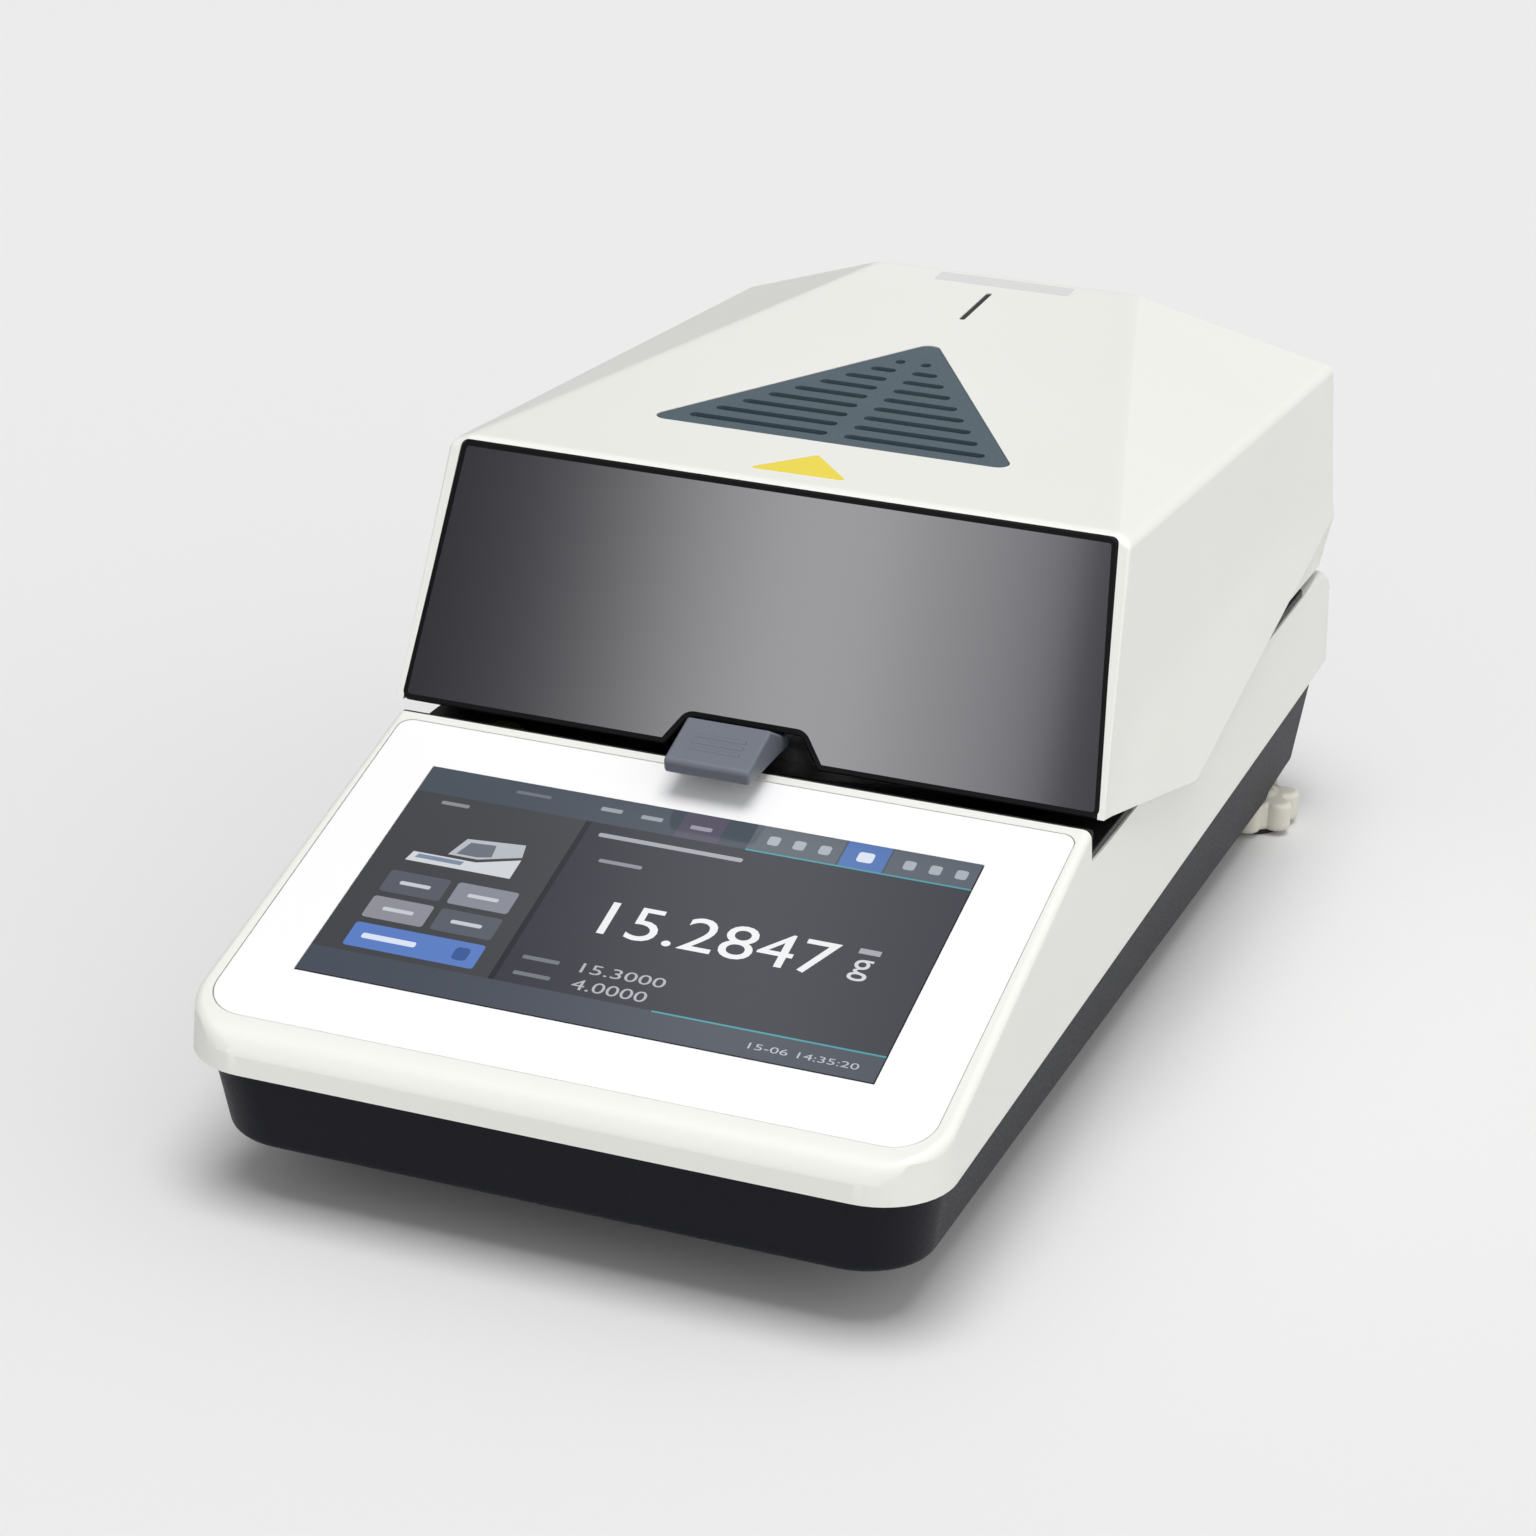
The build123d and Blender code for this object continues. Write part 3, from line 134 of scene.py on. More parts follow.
# ABS, satin moulded: warm white body, its grain only just breaks up the highlights
mouldedAbs = moulded("mouldedAbs", {
    "colour": "#EFEFEA", "drift": "#EBEBE5", "driftMm": 90, "grainMm": 0.9, "gloss": (0.36, 0.44),
    "relief": 0.06, "reliefMm": 0.05, "ior": 1.53})
# back-printed glass: clean white ink under a smooth clear sheet
printedGlass = moulded("printedGlass", {
    "colour": "#FBFBFB", "drift": "#F8F8F9", "driftMm": 120, "grainMm": 2.5, "gloss": (0.14, 0.18),
    "relief": 0.01, "reliefMm": 0.02, "ior": 1.5})
# ABS and polycarbonate blend, dark and textured: the blue-black tub
darkAbs = moulded("darkAbs", {
    "colour": "#12131C", "drift": "#15161F", "driftMm": 60, "grainMm": 0.8, "gloss": (0.42, 0.55),
    "relief": 0.18, "reliefMm": 0.08, "ior": 1.52, "shine": 0.12})
# glass-filled nylon, matt black: chamber tray and connector bodies
blackNylon = moulded("blackNylon", {
    "colour": "#101113", "drift": "#16171A", "driftMm": 30, "grainMm": 0.6, "gloss": (0.4, 0.6),
    "relief": 0.2, "reliefMm": 0.08, "ior": 1.53})
# acetal, moulded in a soft grey: the lifting tab
greyAcetal = moulded("greyAcetal", {
    "colour": "#70747F", "drift": "#6B6F7A", "driftMm": 20, "grainMm": 0.7, "gloss": (0.38, 0.5),
    "relief": 0.1, "reliefMm": 0.06, "ior": 1.48})
# nylon, natural ivory: the hand wheels of the feet
ivoryNylon = moulded("ivoryNylon", {
    "colour": "#E2DFD3", "drift": "#DAD6C8", "driftMm": 18, "grainMm": 0.7, "gloss": (0.4, 0.52),
    "relief": 0.1, "reliefMm": 0.06, "ior": 1.53})
# nitrile rubber, moulded matt: feet
mattRubber = moulded("mattRubber", {
    "colour": "#1A1A1B", "drift": "#222224", "driftMm": 12, "grainMm": 0.5, "gloss": (0.7, 0.85),
    "relief": 0.25, "reliefMm": 0.1, "ior": 1.52})
# glass-epoxy board under green solder resist
boardEpoxy = moulded("boardEpoxy", {
    "colour": "#15432B", "drift": "#1B4F33", "driftMm": 9, "grainMm": 1.2, "gloss": (0.28, 0.4),
    "relief": 0.15, "reliefMm": 0.08, "ior": 1.5})
# steatite ceramic, fired and unglazed: lamp holders
firedCeramic = moulded("firedCeramic", {
    "colour": "#E8E3D3", "drift": "#DDD6C3", "driftMm": 8, "grainMm": 0.5, "gloss": (0.6, 0.75),
    "relief": 0.2, "reliefMm": 0.08, "ior": 1.6})
# powder-coated zinc: blue-grey vent plate with a fine pebble
powderCoat = moulded("powderCoat", {
    "colour": "#4B5D66", "drift": "#45565F", "driftMm": 25, "grainMm": 0.7, "gloss": (0.42, 0.55),
    "relief": 0.2, "reliefMm": 0.06, "ior": 1.5})
# vinyl film, self-adhesive: plain patches on the roof
yellowFilm = moulded("yellowFilm", {
    "colour": "#F1DC30", "drift": "#ECD62C", "driftMm": 10, "grainMm": 0.5, "gloss": (0.3, 0.36),
    "relief": 0.05, "reliefMm": 0.03, "ior": 1.5})
paleFilm = moulded("paleFilm", {
    "colour": "#DEDFDD", "drift": "#D8D9D8", "driftMm": 14, "grainMm": 0.5, "gloss": (0.34, 0.42),
    "relief": 0.05, "reliefMm": 0.03, "ior": 1.5})
# painted shade, matt black over the inside of the lid: it makes the vent slots look dark
lidInsideShade = moulded("lidInsideShade", {
    "colour": "#141517", "drift": "#1A1B1D", "driftMm": 20, "grainMm": 0.5, "gloss": (0.6, 0.75),
    "relief": 0.15, "reliefMm": 0.05, "ior": 1.5, "shine": 0.3})
# stainless sheet, brushed along the instrument
brushedSteel = worked("brushedSteel", {
    "colour": "#B9BABB", "worn": "#A9AAAC", "stretch": (1.0, 0.04, 1.0), "lineMm": 0.5,
    "cloudMm": 25, "gloss": (0.26, 0.4), "relief": 0.3})
# aluminium, milled
milledAluminium = worked("milledAluminium", {
    "colour": "#C6C7C9", "worn": "#B4B5B8", "stretch": (0.06, 1.0, 1.0), "lineMm": 0.8,
    "cloudMm": 18, "gloss": (0.3, 0.42), "relief": 0.3})
# aluminium foil dish, pressed: brighter and softly rippled
pressedFoil = worked("pressedFoil", {
    "colour": "#D2D2D3", "worn": "#C4C4C6", "stretch": (1.0, 1.0, 1.0), "lineMm": 2.5,
    "cloudMm": 12, "gloss": (0.22, 0.34), "relief": 0.6})
# brass, turned
turnedBrass = worked("turnedBrass", {
    "colour": "#C9A65B", "worn": "#B08F49", "stretch": (1.0, 1.0, 0.1), "lineMm": 0.5,
    "cloudMm": 6, "gloss": (0.25, 0.35), "relief": 0.3})
# aluminium, anodised and spun warm bright: reflector over the lamp
brightReflector = worked("brightReflector", {
    "colour": "#E6DDC2", "worn": "#DCD0AE", "stretch": (1.0, 1.0, 0.2), "lineMm": 1.5,
    "cloudMm": 20, "gloss": (0.1, 0.18), "relief": 0.15})
print("plain materials ready")


def windowMaterial(finish):
    # polycarbonate, tinted dark and hard-coated: smoky, with the room mirrored in its coat
    material, tree, shader, place = startMaterial(
        "tintedPolycarbonate", **{"IOR": finish["ior"], "Roughness": finish["roughness"],
                                  "Coat Weight": 1.0, "Coat IOR": finish["coatIor"],
                                  "Coat Roughness": finish["coatRoughness"]})
    haze = addNode(tree, "ShaderNodeTexNoise", {"Scale": 1000 / finish["hazeMm"], "Detail": 2.0},
                   {"Vector": place})
    tint = addNode(tree, "ShaderNodeMix", {6: hexColour(finish["tint"]),
                                           7: hexColour(finish["haze"])},
                   {0: haze.outputs["Fac"]}, data_type="RGBA")
    tree.links.new(tint.outputs[2], shader.inputs["Base Color"])
    return material


tintedPolycarbonate = windowMaterial({
    "ior": 1.58, "roughness": 0.2, "coatIor": 3.6, "coatRoughness": 0.05, "tint": "#1E1D22",
    "haze": "#222126", "hazeMm": 70})
# near-black round the edge of the window, with little shine so that it gives back little light
windowBorderBlack = moulded("windowBorderBlack", {
    "colour": "#0A0A0C", "drift": "#0D0D0F", "driftMm": 30, "grainMm": 1.5, "gloss": (0.3, 0.4),
    "relief": 0.02, "reliefMm": 0.02, "ior": 1.5, "shine": 0.25})


lid = {  # corner points of the faceted lid: half width, depth, height in mm
    "frontLow": (100.4, 133.1, 93.3), "frontTop": (91.8, 157.2, 162.7),
    "crease": (96.0, 156.8, 161.1), "roofRear": (40.9, 355.4, 173.2),
    "shoulder": (96.6, 389.4, 149.6), "rearLow": (99.4, 393.9, 104.4),
    "foot": (98.0, 386.7, 85.8), "flap": (104.5, 216.0, 75.5),
    "bendFront": (98.2, 168.0, 111.5), "bendRear": (98.9, 300.0, 114.5),
    "wallMm": 3.0, "softBendMm": 5.0, "edgeMm": 2.4, "frameEdgeMm": 0.9,
    "windowSideMm": 1.0, "windowTopMm": 1.0, "frameTopMm": 1.6, "gapMm": 0.15,
    "seatMm": 3.1, "ledgeMm": 1.6, "seatRadiusMm": 2.0, "openingRadiusMm": 2.5,
    "slot": {"half": 0.9, "front": 309.0, "rear": 337.0, "deepMm": 1.6, "lineTopMm": 0.35},
    # the cut round each hinge barrel: nearer and further half width, then depths and heights
    "hingeCut": {"x": (26, 87.5), "depth": (360, 412), "height": (70, 99)},
    # skirts at the rear, inside the flaps' edges: depths and heights, then from side to side
    "skirt": [(277, 87.2), (386.2, 85.8), (392.6, 101), (392.6, 106), (277, 96)],
    "skirtSides": (96.2, 98.2),
}


def frontUp(height):
    # distance up the lid's sloping front from its lower edge, in mm
    rise = lid["frontTop"][2] - lid["frontLow"][2]
    run = lid["frontTop"][1] - lid["frontLow"][1]
    return (height - lid["frontLow"][2]) * math.hypot(run, rise) / rise


def onFront(x, up, inside=0.0):
    # a point on the lid's front face: across, up it and behind it, in mm
    rise = lid["frontTop"][2] - lid["frontLow"][2]
    run = lid["frontTop"][1] - lid["frontLow"][1]
    slant = math.hypot(run, rise)
    return at(x, lid["frontLow"][1] + up * run / slant + inside * rise / slant,
              lid["frontLow"][2] + up * rise / slant - inside * run / slant)


lowX = lid["frontLow"][0] - lid["windowSideMm"]
topX = lid["frontTop"][0] + lid["frameTopMm"] - lid["windowSideMm"]
windowTop = frontUp(lid["frontTop"][2]) - lid["windowTopMm"]
windowCorners = [(-lowX, 0.0), (lowX, 0.0), (topX, windowTop), (-topX, windowTop)]


def clearGlass(name, finish):
    # borosilicate glass: clear, with a faint tint and polished faces
    material, tree, shader, place = startMaterial(
        name, **{"IOR": 1.47, "Transmission Weight": 0.9, "Roughness": 0.03})
    tint = addNode(tree, "ShaderNodeTexNoise", {"Scale": 1000 / finish["cloudMm"]},
                   {"Vector": place})
    shade = addNode(tree, "ShaderNodeMix", {6: hexColour(finish["colour"]),
                                            7: hexColour(finish["edge"])},
                    {0: tint.outputs["Fac"]}, data_type="RGBA")
    tree.links.new(shade.outputs[2], shader.inputs["Base Color"])
    return material


borosilicateGlass = clearGlass("borosilicateGlass", {"colour": "#EAF3EF", "edge": "#DCEBE5",
                                                     "cloudMm": 60})
quartzTube = clearGlass("quartzTube", {"colour": "#F6F1E4", "edge": "#EFE6D0", "cloudMm": 12})
levelFluid = clearGlass("levelFluid", {"colour": "#CFE89A", "edge": "#BFDD82", "cloudMm": 8})


def litDisplay(name, finish):
    # liquid-crystal display under clear glass: the colours stored on the faces glow evenly
    material, tree, shader, place = startMaterial(
        name, **{"Base Color": hexColour("#050506"), "Roughness": finish["roughness"],
                 "Emission Strength": finish["glow"]})
    ink = addNode(tree, "ShaderNodeAttribute", attribute_name="ink")
    # the backlight is a little uneven from side to side
    uneven = addNode(tree, "ShaderNodeTexNoise", {"Scale": 1000 / finish["cloudMm"], "Detail": 1.0},
                     {"Vector": place})
    level = addNode(tree, "ShaderNodeMapRange", {1: 0.3, 2: 0.7, 3: 0.95, 4: 1.03},
                    {0: uneven.outputs["Fac"]})
    light = addNode(tree, "ShaderNodeMix", {0: 1.0}, {6: ink.outputs["Color"],
                                                      7: level.outputs[0]},
                    data_type="RGBA", blend_type="MULTIPLY")
    tree.links.new(light.outputs[2], shader.inputs["Emission Color"])
    return material


displayLight = litDisplay("displayLight", {"roughness": 0.1, "glow": 1.0, "cloudMm": 60})
# touch glass over the black edge of the display
touchGlass = moulded("touchGlass", {
    "colour": "#17181B", "drift": "#1A1B1E", "driftMm": 80, "grainMm": 2.0, "gloss": (0.08, 0.12),
    "relief": 0.01, "reliefMm": 0.02, "ior": 1.5})
print("glass and display materials ready")


def newPiece(name, mesh, body, material, replaced=()):
    piece = bpy.data.objects.new(name, mesh)
    bpy.context.scene.collection.objects.link(piece)
    if material is not None:
        mesh.materials.clear()
        mesh.materials.append(material)
    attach(piece, body)
    if replaced:
        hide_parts(*replaced)
    return piece


def bakeModifiers(piece):
    # swap the mesh for what its modifiers give, and take the modifiers off
    result = bpy.data.meshes.new_from_object(
        piece.evaluated_get(bpy.context.evaluated_depsgraph_get()))
    piece.modifiers.clear()
    piece.data = result


def scratchObject(mesh):
    thing = bpy.data.objects.new("scratch", mesh)
    bpy.context.scene.collection.objects.link(thing)
    return thing


def asMesh(shape, name):
    mesh = bpy.data.meshes.new(name)
    shape.to_mesh(mesh)
    shape.free()
    return mesh


def smoothed(mesh, sharpDegrees=32.0):
    # smooth shading with crisp edges, weighted so that flat faces stay flat
    for polygon in mesh.polygons:
        polygon.use_smooth = True
    shape = bmesh.new()
    shape.from_mesh(mesh)
    for edge in shape.edges:
        edge.smooth = (len(edge.link_faces) == 2
                       and edge.calc_face_angle(0.0) < math.radians(sharpDegrees))
    shape.to_mesh(mesh)
    shape.free()
    thing = scratchObject(mesh)
    weighted = thing.modifiers.new("even", "WEIGHTED_NORMAL")
    weighted.keep_sharp = True
    weighted.weight = 100
    bakeModifiers(thing)
    result = thing.data
    bpy.data.objects.remove(thing)
    return result


def nodeShape(nodeName):
    # a welded copy of a CAD node with its flat faces whole again
    shape = bmesh.new()
    shape.from_mesh(nodes[nodeName].data)
    bmesh.ops.remove_doubles(shape, verts=shape.verts, dist=1e-6)
    bmesh.ops.dissolve_limit(shape, angle_limit=math.radians(0.2), verts=shape.verts,
                             edges=shape.edges)
    return shape


def prismShape(points, low, high, place):
    # closed prism: outline points (a, b) placed by place(a, b, c) for c at low and at high
    shape = bmesh.new()
    bottom = [shape.verts.new(place(a, b, low)) for a, b in points]
    top = [shape.verts.new(place(a, b, high)) for a, b in points]
    shape.faces.new(bottom)
    shape.faces.new(top)
    count = len(points)
    for i in range(count):
        shape.faces.new((bottom[i], bottom[(i + 1) % count], top[(i + 1) % count], top[i]))
    bmesh.ops.recalc_face_normals(shape, faces=shape.faces)
    return shape


def roundCorners(points, radius, steps=5):
    # outline with its corners rounded; a radius of its own for each corner, or one for all
    radii = radius if isinstance(radius, (list, tuple)) else [radius] * len(points)
    result = []
    for i, corner in enumerate(points):
        here = Vector(corner)
        before = (Vector(points[i - 1]) - here).normalized()
        after = (Vector(points[(i + 1) % len(points)]) - here).normalized()
        if radii[i] <= 0:
            result.append(tuple(here))
            continue
        half = before.angle(after) / 2
        reach = radii[i] / math.tan(half)
        centre = here + (before + after).normalized() * radii[i] / math.sin(half)
        start = here + before * reach - centre
        sweep = start.angle_signed(here + after * reach - centre)
        for step in range(steps + 1):
            turn = -sweep * step / steps
            result.append((centre.x + start.x * math.cos(turn) - start.y * math.sin(turn),
                           centre.y + start.x * math.sin(turn) + start.y * math.cos(turn)))
    return result


def cutAway(piece, cutters):
    for shape in cutters:
        tool = scratchObject(asMesh(shape, "cutter"))
        cut = piece.modifiers.new("cut", "BOOLEAN")
        cut.object = tool
        cut.operation = "DIFFERENCE"
        cut.solver = "MANIFOLD"
        bakeModifiers(piece)
        bpy.data.objects.remove(tool)


def lidOuter():
    # open outer skin of the lid from its corner points
    shape = bmesh.new()
    corner = {}
    both = (1, -1)
    for side in both:
        for name in ("frontLow", "frontTop", "crease", "roofRear", "shoulder", "rearLow", "foot",
                     "flap", "bendFront", "bendRear"):
            x, depth, height = lid[name]
            corner[name, side] = shape.verts.new(at(side * x, depth, height))

    def face(*names):
        shape.faces.new([corner[n] for n in names])

    def ring(*names):
        # a face across the lid: the named corners on one side and the same on the other
        face(*[(n, 1) for n in names], *[(n, -1) for n in reversed(names)])

    ring("frontLow", "crease", "frontTop")
    ring("frontTop", "roofRear")
    ring("roofRear", "shoulder")
    ring("shoulder", "rearLow")
    ring("rearLow", "foot")
    for side in both:
        face(*[(n, side) for n in ("frontTop", "crease", "shoulder")])
        face(*[(n, side) for n in ("frontTop", "shoulder", "roofRear")])
        face(*[(n, side) for n in ("crease", "frontLow", "bendFront")])
        face(*[(n, side) for n in ("crease", "bendFront", "shoulder")])
        face(*[(n, side) for n in ("bendFront", "bendRear", "shoulder")])
        face(*[(n, side) for n in ("bendRear", "rearLow", "shoulder")])
        face(*[(n, side) for n in ("frontLow", "flap", "bendFront")])
        face(*[(n, side) for n in ("bendFront", "flap", "bendRear")])
        face(*[(n, side) for n in ("bendRear", "flap", "rearLow")])
    bmesh.ops.recalc_face_normals(shape, faces=shape.faces)
    roof = max(shape.faces, key=lambda f: f.calc_center_median().z)
    if roof.normal.z < 0:
        bmesh.ops.reverse_faces(shape, faces=shape.faces)
    weight = shape.edges.layers.float.new("bevel_weight_edge")
    bends = (("frontLow", "bendFront"), ("bendFront", "bendRear"), ("bendRear", "rearLow"))
    soft = [{(one, s), (other, s)} for one, other in bends for s in both]
    framing = [{("frontLow", s), ("crease", s)} for s in both]
    names = {vert: key for key, vert in corner.items()}
    for edge in shape.edges:
        ends = {names[v] for v in edge.verts}
        if len(edge.link_faces) != 2:
            continue
        if ends in soft:
            edge[weight] = 1.0
        elif ends in framing:
            edge[weight] = lid["frameEdgeMm"] / lid["softBendMm"]
        elif edge.calc_face_angle(0.0) > math.radians(9):
            edge[weight] = lid["edgeMm"] / lid["softBendMm"]
    return shape


def fromSide(depth, height, x):
    # the place of a side outline's point, for prisms that run from one side to the other
    return at(x, depth, height)


def slotOutline(steps=5):
    # the narrow recess behind the vent plate
    s = lid["slot"]
    return roundCorners([(-s["half"], s["front"]), (s["half"], s["front"]),
                         (s["half"], s["rear"]), (-s["half"], s["rear"])], s["half"] * 0.9, steps)


def buildLid():
    piece = newPiece("lidHood", asMesh(lidOuter(), "lidHood"), "lid", mouldedAbs,
                     ["lid_shell"])
    # the wall's inner faces take the painted shade, so that the lid's inside looks dark through its
    # slots
    piece.data.materials.append(lidInsideShade)
    soften = piece.modifiers.new("soften", "BEVEL")
    soften.limit_method = "WEIGHT"
    soften.width = lid["softBendMm"] / 1000
    soften.segments = 6
    soften.use_clamp_overlap = False
    wall = piece.modifiers.new("wall", "SOLIDIFY")
    wall.thickness = lid["wallMm"] / 1000
    wall.offset = -1.0
    wall.use_even_offset = True
    # the inner faces get the second material: painted shade
    wall.material_offset = 1
    bakeModifiers(piece)
    gap, ledge = lid["gapMm"], lid["ledgeMm"]
    grown = [(a + math.copysign(gap, a), b - 12 if b == 0 else b + gap) for a, b in windowCorners]
    seatRadii = [0, 0, lid["seatRadiusMm"], lid["seatRadiusMm"]]
    seat = prismShape(roundCorners(grown, seatRadii), -4, lid["seatMm"], onFront)
    inner = [(a - math.copysign(ledge, a), b) for a, b in grown]
    openingRadii = [0, 0, lid["openingRadiusMm"], lid["openingRadiusMm"]]
    opening = prismShape(roundCorners(inner, openingRadii), -4, 14, onFront)
    # the softened corners end level with the lower edge
    depth, height = lid["frontLow"][1:]
    flapDepth, flapHeight = lid["flap"][1:]
    hair = 0.03
    trim = prismShape([(depth - 15, height - hair), (depth, height - hair),
                       (flapDepth, flapHeight - hair), (flapDepth, flapHeight - 20),
                       (depth - 15, flapHeight - 20)], -115, 115, fromSide)
    hole = prismShape(grilleOutline(0.25), -6, 9, onRoof)
    slot = prismShape(slotOutline(), -lid["slot"]["deepMm"], 5, onRoof)
    (near, far), (front, rear) = lid["hingeCut"]["x"], lid["hingeCut"]["depth"]
    relief = [prismShape([(near * side, front), (far * side, front), (far * side, rear),
                          (near * side, rear)], *lid["hingeCut"]["height"], at)
              for side in (1, -1)]
    cutAway(piece, [trim, seat, opening, hole, slot, *relief])
    shell = bmesh.new()
    shell.from_mesh(piece.data)
    for side in (1, -1):
        strip = prismShape(lid["skirt"], *[side * x for x in lid["skirtSides"]], fromSide)
        shell.from_mesh(asMesh(strip, "skirt"))
    shell.to_mesh(piece.data)
    shell.free()
    piece.data = smoothed(piece.data, 30)
    return piece


def onRoof(x, depth, lift=0.0):
    # a point on the lid's flat roof, raised above it in mm
    share = (depth - lid["frontTop"][1]) / (lid["roofRear"][1] - lid["frontTop"][1])
    height = lid["frontTop"][2] + share * (lid["roofRear"][2] - lid["frontTop"][2])
    return at(x, depth, height + lift)


grille = {"halfWidth": 53.0, "startDepth": 191.8, "endDepth": 285.2, "cornerMm": 3.4,
          "rows": 9, "firstRow": 7.0, "pitch": 8.25, "slotWidth": 3.4, "rib": 5.0,
          "sideMargin": 6.3, "thickMm": 2.4}


def grilleOutline(grow=0.0):
    g = grille
    half = g["halfWidth"] + 1.6 * grow
    return roundCorners([(-half, g["startDepth"] - grow), (half, g["startDepth"] - grow),
                         (0, g["endDepth"] + 1.9 * grow)], g["cornerMm"], 7)


def buildGrille():
    # triangular vent plate: a frame and a rib as one plate, with slats between its slots
    g = grille
    piece = newPiece("ventPlate", asMesh(prismShape(grilleOutline(), -g["thickMm"], -0.1, onRoof),
                                         "ventPlate"), "lid", powderCoat,
                     ["vent_grille"])
    cutters = []
    for row in range(g["rows"]):
        depth = g["startDepth"] + g["firstRow"] + row * g["pitch"]
        reach = g["halfWidth"] * (g["endDepth"] - depth) / (g["endDepth"] - g["startDepth"])
        reach -= g["sideMargin"]
        for side in (1, -1):
            x0, x1 = sorted((side * g["rib"] / 2, side * reach))
            low, high = depth - g["slotWidth"] / 2, depth + g["slotWidth"] / 2
            cutters.append(prismShape(roundCorners(
                [(x0, low), (x1, low), (x1, high), (x0, high)],
                min(g["slotWidth"] / 2.1, (x1 - x0) / 2.1), 4), -6, 4, onRoof))
    cutAway(piece, cutters)
    piece.data = smoothed(piece.data)
    return piece


window = {"borderMm": 1.3, "edgeMm": 0.4, "sideBandMm": 8}


def buildWindow():
    # the tinted pane with its near-black border as faces of their own
    shape = nodeShape("lid_window")
    forward = (onFront(0, 0, -1) - onFront(0, 0, 0)).normalized()
    front = max((f for f in shape.faces if f.normal.dot(forward) > 0.99),
                key=lambda f: f.calc_area())
    bmesh.ops.bevel(shape, geom=list(front.edges), offset=window["edgeMm"] / 1000, segments=1,
                    affect="EDGES", profile=0.5, clamp_overlap=False)
    front = max((f for f in shape.faces if f.normal.dot(forward) > 0.99),
                key=lambda f: f.calc_area())
    bmesh.ops.inset_region(shape, faces=[front], thickness=window["borderMm"] / 1000,
                           use_even_offset=True)
    for face in shape.faces:
        face.material_index = 0 if face == front else 1
    # the pane reaches almost to the lid's side edges
    slope = (topX - lowX) / windowTop
    for vertex in shape.verts:
        edgeX = lowX + slope * frontUp(vertex.co.z * 1000)
        if abs(vertex.co.x) * 1000 > edgeX - window["sideBandMm"]:
            vertex.co.x += math.copysign(lid["ledgeMm"] / 1000, vertex.co.x)
    mesh = asMesh(shape, "windowPane")
    mesh.materials.append(tintedPolycarbonate)
    mesh.materials.append(windowBorderBlack)
    pane = smoothed(mesh)
    for face in pane.polygons:
        face.use_smooth = face.material_index == 1
    return newPiece("windowPane", pane, "lid", None, ["lid_window"])


def buildSlotLine():
    # the dark bottom of the narrow recess
    strip = prismShape(slotOutline(4), -lid["slot"]["deepMm"], -lid["slot"]["lineTopMm"], onRoof)
    return newPiece("slotLine", smoothed(asMesh(strip, "slotLine")), "lid", blackNylon)


print("building the lid")
buildLid()
buildGrille()
buildWindow()
buildSlotLine()


def roundedCopy(pieceName, nodeName, body, material, widthMm, chosen, segments=3):
    # the CAD node's own form with the chosen edges rounded
    shape = nodeShape(nodeName)
    edges = [e for e in shape.edges if len(e.link_faces) == 2 and chosen(e)]
    if edges:
        bmesh.ops.bevel(shape, geom=edges, offset=widthMm / 1000, segments=segments,
                        affect="EDGES", profile=0.5, clamp_overlap=False, offset_type="OFFSET")
    mesh = smoothed(asMesh(shape, pieceName))
    return newPiece(pieceName, mesh, body, material, [nodeName])


# where the edges that get rounded lie, in metres from the middle of the table
rim = {"casingX": 0.094, "casingFrontY": -0.19, "casingZ": 0.045, "deckZ": 0.081,
       "deckY": (-0.07, 0.16), "tubX": 0.088, "tubY": 0.18, "tubZ": 0.025, "trayZ": 0.0835}


def outwardOf(edge):
    middle = (edge.verts[0].co + edge.verts[1].co) / 2
    return middle, Vector((middle.x, middle.y, 0))


def casingRim(edge):
    # the upper outer edge of the casing: a top face meets an outer side face
    middle, outward = outwardOf(edge)
    side, top = sorted(edge.link_faces, key=lambda f: f.normal.z)
    onDeck = middle.z > rim["deckZ"] and rim["deckY"][0] < middle.y < rim["deckY"][1]
    return (edge.is_convex and edge.calc_face_angle(0) > math.radians(25)
            and abs(side.normal.z) < 0.3 and side.normal.dot(outward) > 0 and top.normal.z > 0.5
            and (abs(middle.x) > rim["casingX"] or middle.y < rim["casingFrontY"])
            and middle.z > rim["casingZ"] and not onDeck)


def tubRim(edge):
    # the lower outer edge of the tub
    middle, outward = outwardOf(edge)
    low, side = sorted(edge.link_faces, key=lambda f: f.normal.z)
    return (edge.is_convex and low.normal.z < -0.8 and abs(side.normal.z) < 0.4
            and side.normal.dot(outward) > 0 and edge.calc_face_angle(0) > math.radians(40)
            and middle.z < rim["tubZ"]
            and (abs(middle.x) > rim["tubX"] or abs(middle.y) > rim["tubY"]))


print("building the housing")
roundedCopy("casingShell", "upper_casing", "base", mouldedAbs, 2.2, casingRim, 4)
roundedCopy("tubShell", "base_tub", "base", darkAbs, 2.5, tubRim, 4)


